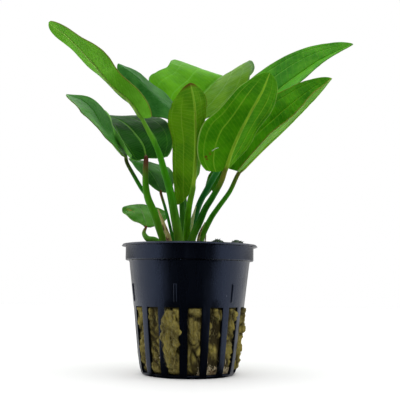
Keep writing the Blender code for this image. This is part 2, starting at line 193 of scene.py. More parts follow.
def tubePiece(name, way, radii, sides, squash=1.0):
    # a tube along a way, wrapped from a grid, with its two ends closed
    way = np.asarray(way, float)
    radii = np.asarray(radii, float)
    heading = unit(np.gradient(way, axis=0))
    first = np.cross(heading[0], (0.3, 1.0, 0.1))
    sideways = [first / np.linalg.norm(first)]
    for k in range(1, len(way)):
        carried = sideways[-1] - heading[k] * np.dot(sideways[-1], heading[k])
        sideways.append(carried / np.linalg.norm(carried))
    sideways = np.array(sideways)
    other = np.cross(heading, sideways)
    turn = np.linspace(0, math.tau, sides + 1)
    rings = sideways[:, None] * np.cos(turn)[None, :, None]
    rings = rings + other[:, None] * (np.sin(turn)[None, :, None] * squash)
    points = way[:, None] + rings * radii[:, None, None]
    points = np.concatenate([np.repeat(way[:1, None], sides + 1, axis=1), points,
                             np.repeat(way[-1:, None], sides + 1, axis=1)])
    along = np.concatenate([[0], np.linspace(0, 1, len(way)), [1]])
    uvs = np.stack(np.broadcast_arrays(turn[None, :] / math.tau, along[:, None]), axis=-1)
    piece = gridPiece(name, points, uvs)
    return cleanUp(piece, 0.0005)


# small helpers for materials

def paint(red, green, blue):
    # a colour as read off a screen, made linear
    linear = []
    for level in (red, green, blue):
        level = level / 255
        linear.append(level / 12.92 if level <= 0.04045 else ((level + 0.055) / 1.055) ** 2.4)
    return (*linear, 1.0)


def link(tree, value, socket):
    if isinstance(value, bpy.types.NodeSocket):
        tree.links.new(value, socket)
    else:
        socket.default_value = value


def mathNode(tree, operation, *values):
    node = tree.nodes.new("ShaderNodeMath")
    node.operation = operation
    for value, socket in zip(values, node.inputs):
        link(tree, value, socket)
    return node.outputs[0]


def times(tree, first, second):
    return mathNode(tree, "MULTIPLY", first, second)


def plus(tree, first, second):
    return mathNode(tree, "ADD", first, second)


def minus(tree, first, second):
    return mathNode(tree, "SUBTRACT", first, second)


def mixColour(tree, share, first, second, blend="MIX"):
    node = tree.nodes.new("ShaderNodeMix")
    node.data_type = "RGBA"
    node.blend_type = blend
    link(tree, share, node.inputs[0])
    link(tree, first, node.inputs[6])
    link(tree, second, node.inputs[7])
    return node.outputs[2]


def mixNumber(tree, share, first, second):
    node = tree.nodes.new("ShaderNodeMix")
    link(tree, share, node.inputs[0])
    link(tree, first, node.inputs[2])
    link(tree, second, node.inputs[3])
    return node.outputs[0]


def fade(tree, value, start, end, low=0.0, high=1.0):
    # runs smoothly from low to high while the value goes from start to end
    node = tree.nodes.new("ShaderNodeMapRange")
    node.interpolation_type = "SMOOTHSTEP"
    for socket, number in zip(node.inputs, (value, start, end, low, high)):
        link(tree, number, socket)
    return node.outputs[0]


def noiseNode(tree, where, scale, detail=3.0, rough=0.55, stretch=None, distortion=0.0, turn=0.0):
    if stretch:
        mapping = tree.nodes.new("ShaderNodeMapping")
        mapping.inputs["Scale"].default_value = stretch
        mapping.inputs["Rotation"].default_value = (0, turn, 0)
        tree.links.new(where, mapping.inputs["Vector"])
        where = mapping.outputs[0]
    node = tree.nodes.new("ShaderNodeTexNoise")
    link(tree, where, node.inputs["Vector"])
    node.inputs["Scale"].default_value = scale
    node.inputs["Detail"].default_value = detail
    node.inputs["Roughness"].default_value = rough
    node.inputs["Distortion"].default_value = distortion
    return node.outputs[0]


def specksNode(tree, where, scale, share, largest=0.42):
    # round specks strewn at random, 1 inside them
    cells = tree.nodes.new("ShaderNodeTexVoronoi")
    link(tree, where, cells.inputs["Vector"])
    cells.inputs["Scale"].default_value = scale
    cells.inputs["Randomness"].default_value = 1.0
    parts = tree.nodes.new("ShaderNodeSeparateColor")
    tree.links.new(cells.outputs["Color"], parts.inputs[0])
    size = plus(tree, times(tree, parts.outputs[1], largest), 0.06)
    gap = minus(tree, size, cells.outputs["Distance"])
    shown = mathNode(tree, "LESS_THAN", parts.outputs[0], share)
    return times(tree, fade(tree, gap, 0.0, 0.1), shown)


def newMaterial(name, colour, roughness):
    material = bpy.data.materials.new(name)
    material.use_nodes = True
    tree = material.node_tree
    shader = tree.nodes["Principled BSDF"]
    link(tree, colour, shader.inputs["Base Color"])
    shader.inputs["Roughness"].default_value = roughness
    return material, tree, shader


def objectPlace(tree):
    return tree.nodes.new("ShaderNodeTexCoord").outputs["Object"]


def ownMap(tree):
    # the two coordinates of the piece's own map: across it and along it
    uvMap = tree.nodes.new("ShaderNodeUVMap")
    uvMap.uv_map = mapName
    parts = tree.nodes.new("ShaderNodeSeparateXYZ")
    tree.links.new(uvMap.outputs[0], parts.inputs[0])
    return parts.outputs[0], parts.outputs[1]


def mottle(tree, shader, pattern, start, end, dark, pale):
    # two colours that run into each other over the surface
    colour = mixColour(tree, fade(tree, pattern, start, end), paint(*dark), paint(*pale))
    tree.links.new(colour, shader.inputs["Base Color"])


def letGlow(shader, weight, spread, depth):
    # light goes a little way into the surface
    shader.inputs["Subsurface Weight"].default_value = weight
    shader.inputs["Subsurface Radius"].default_value = spread
    shader.inputs["Subsurface Scale"].default_value = depth * mm


def addBump(tree, shader, height, distance, strength=1.0):
    bump = tree.nodes.new("ShaderNodeBump")
    bump.inputs["Strength"].default_value = strength
    bump.inputs["Distance"].default_value = distance * mm
    tree.links.new(height, bump.inputs["Height"])
    tree.links.new(bump.outputs[0], shader.inputs["Normal"])


# camera, floor and lights

cameraSetup = dict(place=(3.82, -300.0, 35.2), pitch=6.75, roll=0.7, lens=65.5, shift=(0.001, -0.0006))


def makeCamera(setup):
    pitch, roll = math.radians(setup["pitch"]), math.radians(setup["roll"])
    forward = Vector((0, math.cos(pitch), math.sin(pitch)))
    level = Vector((1, 0, 0))
    upright = level.cross(forward)
    right = level * math.cos(roll) + upright * math.sin(roll)
    up = upright * math.cos(roll) - level * math.sin(roll)
    freshStart()
    bpy.ops.object.camera_add()
    camera = bpy.context.object
    camera.name = "camera"
    turned = Matrix((right, up, -forward)).transposed().to_4x4()
    camera.matrix_world = Matrix.Translation(Vector(setup["place"]) * mm) @ turned
    camera.data.lens = setup["lens"]
    camera.data.sensor_width = 36
    camera.data.shift_x, camera.data.shift_y = setup["shift"]
    camera.data.clip_start = 0.01
    bpy.context.scene.camera = camera


# brightness of the room by direction, and where each part starts: front is behind the camera, flank lies
# between side and back, seen is the backdrop itself
roomLight = dict(front=0.04, side=1.2, flank=0.35, back=1.0, top=1.5, below=0.10, seen=1.0,
                 sideFrom=(-0.72, -0.60), flankFrom=(0.34, 0.48), backFrom=(0.84, 0.92),
                 topFrom=(0.34, 0.62), belowFrom=(-0.25, -0.5))


def makeWorld(setup):
    # a pale room lit from above and from both sides, dark behind the camera
    world = bpy.data.worlds.new("studio")
    bpy.context.scene.world = world
    world.use_nodes = True
    tree = world.node_tree
    room = tree.nodes["Background"]
    room.inputs["Color"].default_value = (1, 1, 1, 1)
    seen = tree.nodes.new("ShaderNodeBackground")
    seen.inputs["Color"].default_value = (1, 1, 1, 1)
    seen.inputs["Strength"].default_value = setup["seen"]
    parts = tree.nodes.new("ShaderNodeSeparateXYZ")
    tree.links.new(tree.nodes.new("ShaderNodeTexCoord").outputs["Generated"], parts.inputs[0])
    x, y, z = parts.outputs
    level = mathNode(tree, "SQRT", plus(tree, times(tree, x, x), times(tree, y, y)))
    depth = mathNode(tree, "DIVIDE", y, mathNode(tree, "MAXIMUM", level, 0.001))
    strength = fade(tree, depth, *setup["sideFrom"], setup["front"], setup["side"])
    for part, way in (("flank", depth), ("back", depth), ("top", z), ("below", z)):
        strength = mixNumber(tree, fade(tree, way, *setup[part + "From"]), strength, setup[part])
    tree.links.new(strength, room.inputs["Strength"])
    path = tree.nodes.new("ShaderNodeLightPath")
    mix = tree.nodes.new("ShaderNodeMixShader")
    tree.links.new(path.outputs["Is Camera Ray"], mix.inputs[0])
    tree.links.new(room.outputs[0], mix.inputs[1])
    tree.links.new(seen.outputs[0], mix.inputs[2])
    tree.links.new(mix.outputs[0], tree.nodes["World Output"].inputs["Surface"])


# the floor's colour, the dark it is painted with in reflections only in front of the pot, and the
# directions where that painted reflection begins and is full
tableTop = dict(width=1400, front=-88, back=900, colour=(246, 246, 246), reflectedDark=(20, 20, 22),
                reflectedDarkEdge=(-0.42, -0.64))


def makeFloor():
    freshStart()
    bpy.ops.mesh.primitive_grid_add(x_subdivisions=8, y_subdivisions=8, size=1)
    floor = bpy.context.object
    floor.name = "floor"
    floor.scale = (tableTop["width"] * mm, (tableTop["back"] - tableTop["front"]) * mm, 1)
    floor.location = (0, (tableTop["back"] + tableTop["front"]) / 2 * mm, 0)
    settle(floor)
    pale, reflectedDark = paint(*tableTop["colour"]), paint(*tableTop["reflectedDark"])
    material, tree, shader = newMaterial("pale floor", pale, 0.8)
    shader.inputs["Specular IOR Level"].default_value = 0.1
    # painted reflection: for reflected rays only, the floor in front of the pot is painted dark, so the
    # pot's front reflects dark
    parts = tree.nodes.new("ShaderNodeSeparateXYZ")
    tree.links.new(objectPlace(tree), parts.inputs[0])
    x, y = parts.outputs[0], parts.outputs[1]
    reach = mathNode(tree, "SQRT", plus(tree, times(tree, x, x), times(tree, y, y)))
    inReflectedDark = fade(tree, mathNode(tree, "DIVIDE", y, reach), *tableTop["reflectedDarkEdge"])
    glossy = tree.nodes.new("ShaderNodeLightPath").outputs["Is Glossy Ray"]
    colour = mixColour(tree, times(tree, inReflectedDark, glossy), pale, reflectedDark)
    tree.links.new(colour, shader.inputs["Base Color"])
    floor.data.materials.append(material)


makeCamera(cameraSetup)
makeWorld(roomLight)
makeFloor()
bpy.context.scene.view_settings.view_transform = "Standard"
print("camera, floor and lights are set")


# the pot

pot = dict(
    # radius and height of the outside, from the foot up to the lip
    outside=[(17.8, 0.0), (18.5, 0.25), (19.05, 1.0), (19.5, 2.2), (19.9, 4.4), (20.3, 7.0), (20.7, 9.8),
             (21.6, 18.0), (22.5, 27.0), (22.9, 30.5), (23.6, 36.5), (24.55, 44.4), (24.75, 45.0),
             (25.2, 45.25), (25.9, 45.3), (26.15, 45.5), (26.2, 45.9), (26.2, 50.6), (26.3, 50.9),
             (26.7, 50.95), (27.6, 50.98), (27.85, 51.2)],
    wall=0.9, edge=0.14, turns=224,
    # the slots in the wall: the turn of the middle one, half a slot's width in degrees, foot and top
    slots=16, slotTurn=6.7 - 90, slotHalf=7.23, slotLow=0.9, slotHigh=27.0,
    # the rings of the floor, and its slits between two of them
    floorRings=(16.0, 14.0, 11.0, 8.0, 5.0, 2.5), slits=8, slitHalf=4.9, slitIn=5.0, slitOut=14.0,
    lug=dict(count=6, turn=-12.6 - 90, size=(1.8, 0.8, 7.8), height=32.4, reach=23.08, edge=0.16),
)
# the two sides of the wall as the wool and the roots meet them: heights, radii
wallLines = dict(inside=((1, 4, 9.5, 27, 45.6), (17.6, 18.9, 19.8, 21.5, 23.6)),
                 outside=((0, 1, 4.4, 9.8, 27, 45), (17.8, 19.05, 19.9, 20.7, 22.5, 24.6)))
slotStep = 360 / pot["slots"]


def insideRadius(height):
    return float(np.interp(height, *wallLines["inside"]))


def outsideRadius(height):
    return float(np.interp(height, *wallLines["outside"]))


def offSlot(azimuth, step=slotStep):
    # degrees from the middle of the nearest slot
    return (azimuth + step / 2) % step - step / 2


def makePot():
    freshStart()
    turn = math.radians(pot["slotTurn"]) + math.pi / pot["turns"]
    rings = pot["outside"]
    bpy.ops.mesh.primitive_circle_add(vertices=pot["turns"], radius=rings[0][0] * mm,
                                      rotation=(0, 0, turn))
    piece = bpy.context.object
    piece.name = "pot_shell"
    settle(piece)
    bpy.ops.object.mode_set(mode="EDIT")
    bpy.ops.mesh.select_all(action="SELECT")
    for (r0, z0), (r1, z1) in zip(rings, rings[1:]):
        bpy.ops.mesh.extrude_edges_move(TRANSFORM_OT_translate={"value": (0, 0, (z1 - z0) * mm)})
        bpy.ops.transform.resize(value=(r1 / r0, r1 / r0, 1), center_override=(0, 0, z1 * mm))
    bpy.ops.mesh.select_all(action="DESELECT")
    bpy.ops.object.mode_set(mode="OBJECT")
    for vertex in piece.data.vertices:
        vertex.select = vertex.co.z < 0.01 * mm
    bpy.ops.object.mode_set(mode="EDIT")
    bpy.ops.mesh.select_mode(type="VERT")
    last = rings[0][0]
    for radius in pot["floorRings"]:
        bpy.ops.mesh.extrude_edges_move(TRANSFORM_OT_translate={"value": (0, 0, 0)})
        bpy.ops.transform.resize(value=(radius / last, radius / last, 1), center_override=(0, 0, 0))
        last = radius
    bpy.ops.mesh.extrude_edges_move(TRANSFORM_OT_translate={"value": (0, 0, 0)})
    bpy.ops.mesh.merge(type="CENTER")
    bpy.ops.object.mode_set(mode="OBJECT")
    cleanUp(piece, 0.001)

    # the slots in the wall and the slits in the floor
    def isOpen(face):
        centre = face.center / mm
        azimuth = math.degrees(math.atan2(centre.y, centre.x)) - pot["slotTurn"]
        inSlot = pot["slotLow"] < centre.z < pot["slotHigh"] and abs(offSlot(azimuth)) < pot["slotHalf"]
        onFloor = centre.z < 0.1 and pot["slitIn"] < math.hypot(centre.x, centre.y) < pot["slitOut"]
        offSlit = offSlot(azimuth - slotStep / 2, 360 / pot["slits"])
        return inSlot or (onFloor and abs(offSlit) < pot["slitHalf"])

    selectFaces(piece, isOpen)
    bpy.ops.mesh.delete(type="FACE")
    bpy.ops.mesh.select_all(action="SELECT")
    bpy.ops.object.mode_set(mode="OBJECT")
    # the wall grows inwards, so its faces look outwards first
    wallFace = min(piece.data.polygons, key=lambda face: abs(face.center.z - 36 * mm))
    if wallFace.normal.dot(wallFace.center * Vector((1, 1, 0))) < 0:
        bpy.ops.object.mode_set(mode="EDIT")
        bpy.ops.mesh.flip_normals()
        bpy.ops.object.mode_set(mode="OBJECT")
    thicken(piece, pot["wall"], offset=-1, even=True)
    edges = piece.modifiers.new("edges", "BEVEL")
    edges.width = pot["edge"] * mm
    edges.segments = 2
    edges.limit_method = "ANGLE"
    edges.angle_limit = math.radians(38)
    applyModifier(piece, "edges")

    # the stacking lugs: one is shaped, the rest are copies turned round the axis
    lug = pot["lug"]
    lugPlace = (0, -lug["reach"] * mm, lug["height"] * mm)
    freshStart()
    heights, radii = wallLines["outside"]
    lean = math.atan2(radii[-1] - radii[-2], heights[-1] - heights[-2])
    bpy.ops.mesh.primitive_cube_add(size=1, location=lugPlace, rotation=(lean, 0, 0))
    first = bpy.context.object
    first.scale = [side * mm for side in lug["size"]]
    settle(first)
    selectFaces(first, lambda face: face.normal.y < -0.9)
    bpy.ops.transform.resize(value=(0.5, 1, 0.88), center_override=lugPlace)
    bpy.ops.object.mode_set(mode="OBJECT")
    soft = first.modifiers.new("soft", "BEVEL")
    soft.width = lug["edge"] * mm
    soft.segments = 2
    applyModifier(first, "soft")
    lugs = []
    for k in range(lug["count"]):
        copy = first.copy()
        copy.data = first.data.copy()
        bpy.context.scene.collection.objects.link(copy)
        copy.rotation_euler = (0, 0, math.radians(lug["turn"] + 90 + 360 / lug["count"] * k))
        lugs.append(settle(copy))
    bpy.data.objects.remove(first)
    piece = joinPieces([piece] + lugs, "pot_shell")
    smoothOff(piece, 32)
    piece.data.materials.append(potMaterial())
    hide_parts("net_pot")
    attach(piece, "root")


def potMaterial():
    # black moulded plastic with a blue cast and a fine grain, strewn with pale specks that are painted
    # highlights in place of the glints of water drops
    material, tree, shader = newMaterial("black moulded plastic", paint(4, 5, 9), 0.3)
    where = objectPlace(tree)
    cloud = noiseNode(tree, where, 90, 3)
    streak = noiseNode(tree, where, 260, 4, stretch=(1, 1, 0.12))
    colour = mixColour(tree, cloud, paint(1, 2, 4), paint(5, 7, 14))
    colour = mixColour(tree, fade(tree, streak, 0.62, 0.80, 0.0, 0.2), colour, paint(40, 44, 56))
    # painted highlights: pale bluish specks in patches, in place of the glints of water drops
    patches = fade(tree, noiseNode(tree, where, 70, 2), 0.42, 0.6)
    specks = times(tree, specksNode(tree, where, 620, 0.30, 0.16), patches)
    colour = mixColour(tree, times(tree, specks, 0.5), colour, paint(92, 98, 116))
    tree.links.new(colour, shader.inputs["Base Color"])
    # the sheen fades where the wall turns away
    facing = tree.nodes.new("ShaderNodeLayerWeight").outputs["Facing"]
    tree.links.new(fade(tree, facing, 0.55, 0.95, 0.5, 0.02), shader.inputs["Specular IOR Level"])
    shader.inputs["Specular Tint"].default_value = (0.44, 0.58, 1.0, 1)
    rough = plus(tree, fade(tree, streak, 0.3, 0.8, 0.24, 0.38), times(tree, specks, 0.2))
    tree.links.new(rough, shader.inputs["Roughness"])
    grain = noiseNode(tree, where, 1300, 3)
    addBump(tree, shader, plus(tree, grain, times(tree, specks, 1.2)), 0.05)
    return material


makePot()
print("the pot is made")


# the rock wool

wool = dict(
    turns=448, layers=104, low=1.5, high=43.6,
    # how far it stands out of the wall in the slots, least, most and farthest, where between least and most
    # it lies with how much change, and how much more it swells in some slots on the right
    least=-0.8, most=0.7, farthest=1.7, fill=(0.45, 0.8), fullSlots=(3.0, 5.0), fuller=0.8,
    # where it comes forward in a slot: degrees off the middle, and heights at the foot and at the top
    sides=(7.2, 6.4), foot=(1.5, 3.2), top=(27.0, 26.2),
    # its gap to the wall inside, and the scale and depth of the broad and the fine folds
    gap=0.35, foldScales=(0.19, 0.46), creaseDepths=(1.3, 0.55),
    # hollows: slot counted from the middle one to the right, height, size, depth; and how wide they are
    dents=[(1, 18.5, 4.5, 2.6), (14, 22.0, 5.0, 1.4), (1, 3.0, 3.6, 3.2), (2, 3.0, 3.6, 2.8)], dentWide=4.2,
    # the rings of the top as shares of its radius, how far it rises in the middle, and its lumps
    topRings=(0.93, 0.85, 0.75, 0.64, 0.53, 0.42, 0.31, 0.2, 0.1, 0.0), crown=1.35, lumps=0.9,
    tongue=dict(turn=-18.4 - 90, half=8.8, low=4.4, high=25.8, thick=2.0, skin=0.35, lift=0.42,
                rows=90, columns=60),
)


def folds(place, scale, seed=0.0):
    # rounded swellings with sharp creases between them: 1 on a swelling, 0 in a crease
    x, y, z = place
    spot = Vector((x * scale + seed, y * scale, (z + 0.9 * x) * scale * 0.8))
    spot += Vector((0, 0, 0.6 * noise.noise(spot * 0.7)))
    return min(1.0, abs(noise.noise(spot)) / 0.34)


def woolSurface(turn, height):
    # the wool's radius there, and how much painted shade it gets: deep in a crease, in a hollow and behind
    # the bars
    azimuth = math.degrees(turn) - pot["slotTurn"]
    slot = round(azimuth / slotStep) % pot["slots"]
    off = offSlot(azimuth)
    inner = insideRadius(height) - wool["gap"]
    outer = outsideRadius(height)
    place = around(outer, turn, height)
    # 1 in the middle of a slot, 0 behind the bars
    window = float(smoothStep(*wool["sides"], abs(off)))
    window *= float(smoothStep(*wool["foot"], height) * smoothStep(*wool["top"], height))
    wave = noise.noise(Vector((slot * 3.7, height * 0.13, 2.0)))
    share = wool["fill"][0] + wool["fill"][1] * wave
    if wool["fullSlots"][0] <= (azimuth % 360) / slotStep <= wool["fullSlots"][1]:
        share += wool["fuller"]
    swell = wool["least"] + share * (wool["most"] - wool["least"])
    broad, fine = folds(place, wool["foldScales"][0]), folds(place, wool["foldScales"][1], 5.0)
    crease = wool["creaseDepths"][0] * (1 - broad) + wool["creaseDepths"][1] * (1 - fine)
    for dentSlot, dentHeight, dentSize, depth in wool["dents"]:
        if slot == dentSlot:
            gap = ((height - dentHeight) / dentSize) ** 2 + (off / wool["dentWide"]) ** 2
            crease += depth * math.exp(-gap * 1.4)
    radius = inner + max(0, outer + swell + 0.35 * fine - crease - inner) * window
    # painted shade: more of it deep in the creases and hollows and behind the bars
    depth = crease / 1.6 + (1 - window) * 0.5
    return min(radius, outer + wool["farthest"]), min(1.0, depth)


def makeWool():
    turns = np.linspace(0, math.tau, wool["turns"] + 1)
    heights = np.linspace(wool["low"], wool["high"], wool["layers"])
    points = np.zeros((len(heights), len(turns), 3))
    deep = np.zeros(points.shape[:2])
    for i, height in enumerate(heights):
        for j, turn in enumerate(turns[:-1]):
            radius, deep[i, j] = woolSurface(turn, height)
            points[i, j] = around(radius, turn, height)
        points[i, -1], deep[i, -1] = points[i, 0], deep[i, 0]
    caps = []
    for share in wool["topRings"]:
        ring = points[-1] * (share, share, 1)
        for place in ring[:-1]:
            lump = wool["lumps"] * noise.fractal(Vector(place) * 0.33, 0.9, 2.1, 4)
            place[2] += wool["crown"] * (1 - share**2) + lump * (1 - share * 0.5) * min(1, share * 4)
        ring[-1] = ring[0]
        caps.append(ring)
    foot = points[0] * (0, 0, 1)
    points = np.concatenate([foot[None], points[:1] * (0.6, 0.6, 1), points, np.array(caps)])
    # painted shade: full at the foot and a little over the top
    deep = np.concatenate([np.ones((2, len(turns))), deep, np.full((len(caps), len(turns)), 0.35)])
    plug = cleanUp(storePaintedShade(gridPiece("wool_plug", points), deep), 0.002)
    piece = joinPieces([plug, makeTongue()], "wool_plug")
    smoothOff(piece, 75)
    piece.data.materials.append(woolMaterial())
    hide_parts("rock_wool")
    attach(piece, "root")


def storePaintedShade(piece, deep):
    # the material paints shade into the creases, behind the bars and at the foot by this attribute
    piece.data.attributes.new("deep", "FLOAT", "POINT").data.foreach_set("value", deep.ravel())
    return piece


def tongueReach(v):
    # share of its full width that the tongue has at each height
    return math.sin(math.pi * (0.04 + 0.92 * v)) ** 0.35 * (1 - 0.22 * math.sin(math.tau * v + 0.6))


def tongueCrest(across, v):
    # share of its full thickness that the tongue has there
    return (1 - abs(across) ** 2.6) * math.sin(math.pi * (0.03 + 0.94 * v)) ** 0.5


def makeTongue():
    # the wool pulled out through one slot lies over the bars beside it
    values = wool["tongue"]
    rows, columns = values["rows"], values["columns"]
    points, deep = np.zeros((rows, columns, 3)), np.zeros((rows, columns))
    for i, v in enumerate(shares(rows)):
        height = values["low"] + (values["high"] - values["low"]) * v
        rim = tongueReach(v)
        for j in range(columns):
            across = 2 * j / (columns - 1) - 1
            uneven = 1 + 0.36 * noise.noise(Vector((height * 0.42, 3.0 * (across > 0), 4.0)))
            uneven += 0.1 * noise.noise(Vector((height * 1.2, 7.0 * (across > 0), 1.0)))
            turn = math.radians(values["turn"] + values["half"] * across * rim * uneven)
            place = around(22, turn, height)
            broad, fine = folds(place, 0.2, 9.0), folds(place, 0.5, 3.0)
            fold = -0.9 * (1 - broad) - 0.5 * (1 - fine)
            swell = max(0, tongueCrest(across, v) * (values["thick"] + fold))
            radius = outsideRadius(height) + values["lift"] + swell
            points[i, j] = around(radius, turn, height)
            # painted shade in the tongue's creases
            deep[i, j] = 0.5 * (1 - broad) + 0.25 * (1 - fine)
    piece = storePaintedShade(gridPiece("tongue", points), deep)
    return cleanUp(thicken(piece, values["skin"], offset=-1), 0.001)


def woolMaterial():
    material, tree, shader = newMaterial("matted rock wool", paint(100, 94, 50), 0.92)
    where = objectPlace(tree)
    broad = noiseNode(tree, where, 230, 4, stretch=(1, 1, 0.4), distortion=0.8, turn=-0.6)
    fibre = noiseNode(tree, where, 1500, 5, rough=0.7, stretch=(1, 1, 0.26), distortion=1.2, turn=0.6)
    fine = noiseNode(tree, where, 3800, 3, rough=0.7)
    # olive brown, paler along the fibres, with green tinges, and painted shade between the fibres and in
    # the creases
    colour = mixColour(tree, fade(tree, broad, 0.3, 0.68), paint(62, 50, 10), paint(146, 132, 54))
    colour = mixColour(tree, fade(tree, fibre, 0.35, 0.7, 0.0, 0.75), colour, paint(156, 147, 90))
    moss = noiseNode(tree, where, 330, 4)
    colour = mixColour(tree, fade(tree, moss, 0.56, 0.68, 0.0, 0.5), colour, paint(62, 70, 18))
    # painted shade between the fibres, where the bump sinks
    dark = fade(tree, fibre, 0.42, 0.26, 0.0, 0.6)
    colour = mixColour(tree, dark, colour, paint(26, 20, 4))
    # painted shade from the stored attribute: dark brown in the creases, behind the bars and at the foot
    deep = tree.nodes.new("ShaderNodeAttribute")
    deep.attribute_name = "deep"
    shade = fade(tree, deep.outputs["Fac"], 0.2, 0.95, 0.0, 0.9)
    colour = mixColour(tree, shade, colour, paint(30, 22, 2))
    tree.links.new(colour, shader.inputs["Base Color"])
    shader.inputs["Specular IOR Level"].default_value = 0.25
    addBump(tree, shader, plus(tree, times(tree, fibre, 0.8), times(tree, fine, 0.3)), 0.55, 0.9)
    return material


def strandPiece(name, ways, thickness, sides=3):
    # many thin strands as one mesh; each narrows to its end
    steps = len(ways[0])
    vertices, faces = [], []
    for way, thick in zip(ways, thickness):
        way = np.asarray(way, float)
        heading = unit(np.gradient(way, axis=0))
        first = unit(np.cross(heading, (0.21, 0.37, 0.9)))
        other = np.cross(heading, first)
        start = len(vertices)
        for k, share in enumerate(shares(steps)):
            radius = thick * (1 - 0.75 * share**2)
            for s in range(sides):
                turn = math.tau * s / sides
                spot = way[k] + radius * (first[k] * math.cos(turn) + other[k] * math.sin(turn))
                vertices.append(spot * mm)
        for k in range(steps - 1):
            for s in range(sides):
                a, b = start + k * sides + s, start + k * sides + (s + 1) % sides
                faces.append((a, b, b + sides, a + sides))
        faces.append(tuple(start + s for s in range(sides))[::-1])
        faces.append(tuple(start + (steps - 1) * sides + s for s in range(sides)))
    mesh = bpy.data.meshes.new(name)
    mesh.from_pydata([tuple(v) for v in vertices], [], faces)
    piece = bpy.data.objects.new(name, mesh)
    bpy.context.scene.collection.objects.link(piece)
    mesh.shade_smooth()
    return piece


# lengths, thickness and how far they stand off are drawn between the pairs
woolFibres = dict(
    seed=7, steps=5,
    # in the slots, angles in degrees: spread is half the width they start in, bar where the bar begins
    slots=dict(count=900, spread=5.6, bar=5.8, heights=(5.5, 25.5), low=4.6, high=26.4, lean=4.5,
               lengths=(1.2, 4.2), lifts=(0.05, 0.5), thick=(0.035, 0.075)),
    tongue=dict(count=260, lengths=(1.0, 3.6), lift=0.5, thick=(0.035, 0.07)),
    top=dict(count=700, radius=22.6, reach=22.8, height=43.8, crown=1.3, lengths=(1.5, 5),
             thick=(0.05, 0.1)),
)


def makeWoolFibres():
    rng = random.Random(woolFibres["seed"])
    ways, thickness = [], []
    kind = woolFibres["slots"]
    for k in range(kind["count"]):
        middle = math.radians(pot["slotTurn"]) + rng.randrange(pot["slots"]) * math.radians(slotStep)
        turn = middle + math.radians(rng.uniform(-kind["spread"], kind["spread"]))
        height, rise = rng.uniform(*kind["heights"]), rng.uniform(-1, 1)
        length = rng.uniform(*kind["lengths"])
        lean = math.radians(rng.uniform(-kind["lean"], kind["lean"]))
        lift = rng.uniform(*kind["lifts"])
        way = []
        for s in shares(woolFibres["steps"]):
            h = min(kind["high"], max(kind["low"], height + rise * length * s))
            a = turn + lean * s * length * 0.25
            r = woolSurface(a, h)[0] + 0.05 + lift * math.sin(math.pi * s)
            if abs(offSlot(math.degrees(a) - pot["slotTurn"])) > kind["bar"]:
                r = max(r, outsideRadius(h) + 0.12)  # over the bar beside the slot
            way.append(around(r, a, h))
        ways.append(way)
        thickness.append(rng.uniform(*kind["thick"]))
    kind, values = woolFibres["tongue"], wool["tongue"]
    for k in range(kind["count"]):
        across, v = rng.uniform(-0.95, 0.95), rng.uniform(0.03, 0.97)
        height = values["low"] + (values["high"] - values["low"]) * v
        turn = math.radians(values["turn"] + values["half"] * across * tongueReach(v) * 0.8)
        length, rise = rng.uniform(*kind["lengths"]), rng.uniform(-1, 1)
        crest = tongueCrest(across, v)
        way = []
        for s in shares(woolFibres["steps"]):
            h = height + rise * length * s
            a = turn + math.radians(rng.uniform(-0.6, 0.6)) + math.radians(across * 2.2 * s)
            r = outsideRadius(h) + 0.5 + crest * values["thick"] + kind["lift"] * math.sin(math.pi * s)
            way.append(around(r, a, h))
        ways.append(way)
        thickness.append(rng.uniform(*kind["thick"]))
    kind = woolFibres["top"]
    reach = kind["reach"]
    for k in range(kind["count"]):
        turn, radius = rng.uniform(0, math.tau), kind["radius"] * math.sqrt(rng.uniform(0.02, 1))
        heading, length = rng.uniform(0, math.tau), rng.uniform(*kind["lengths"])
        x, y, base = around(radius, turn, kind["height"] + kind["crown"] * (1 - (radius / 23) ** 2))
        way = []
        for s in shares(woolFibres["steps"]):
            px, py = x + math.cos(heading + s) * length * s, y + math.sin(heading + s) * length * s
            if math.hypot(px, py) > reach:
                px, py = px * reach / math.hypot(px, py), py * reach / math.hypot(px, py)
            way.append((px, py, base + rng.uniform(0, 0.7) * math.sin(math.pi * s) + 0.2))
        ways.append(way)
        thickness.append(rng.uniform(*kind["thick"]))
    piece = strandPiece("wool_fibres", ways, thickness)
    material, tree, shader = newMaterial("rock wool fibre", paint(178, 166, 112), 0.75)
    pattern = noiseNode(tree, objectPlace(tree), 420, 3)
    mottle(tree, shader, pattern, 0.35, 0.65, (84, 76, 32), (150, 142, 92))
    piece.data.materials.append(material)
    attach(piece, "root")


makeWool()
makeWoolFibres()
print("the rock wool is packed")


# roots at the bottom of the pot

# fine ones lie in the slots between two turns, in degrees
roots = dict(
    seed=3, steps=13, heights=(1.6, 4.6),
    lying=dict(count=120, reach=(6, 17.3), farthest=17.4, lowest=1.35, thick=(0.16, 0.42)),
    hanging=dict(count=60, top=8.0, lengths=(4, 9), lowest=1.5, thick=(0.08, 0.2)),
    fine=dict(count=150, turns=(-74, -20), reach=(17.2, 19.0), lowest=1.45, thick=(0.07, 0.17)),
)


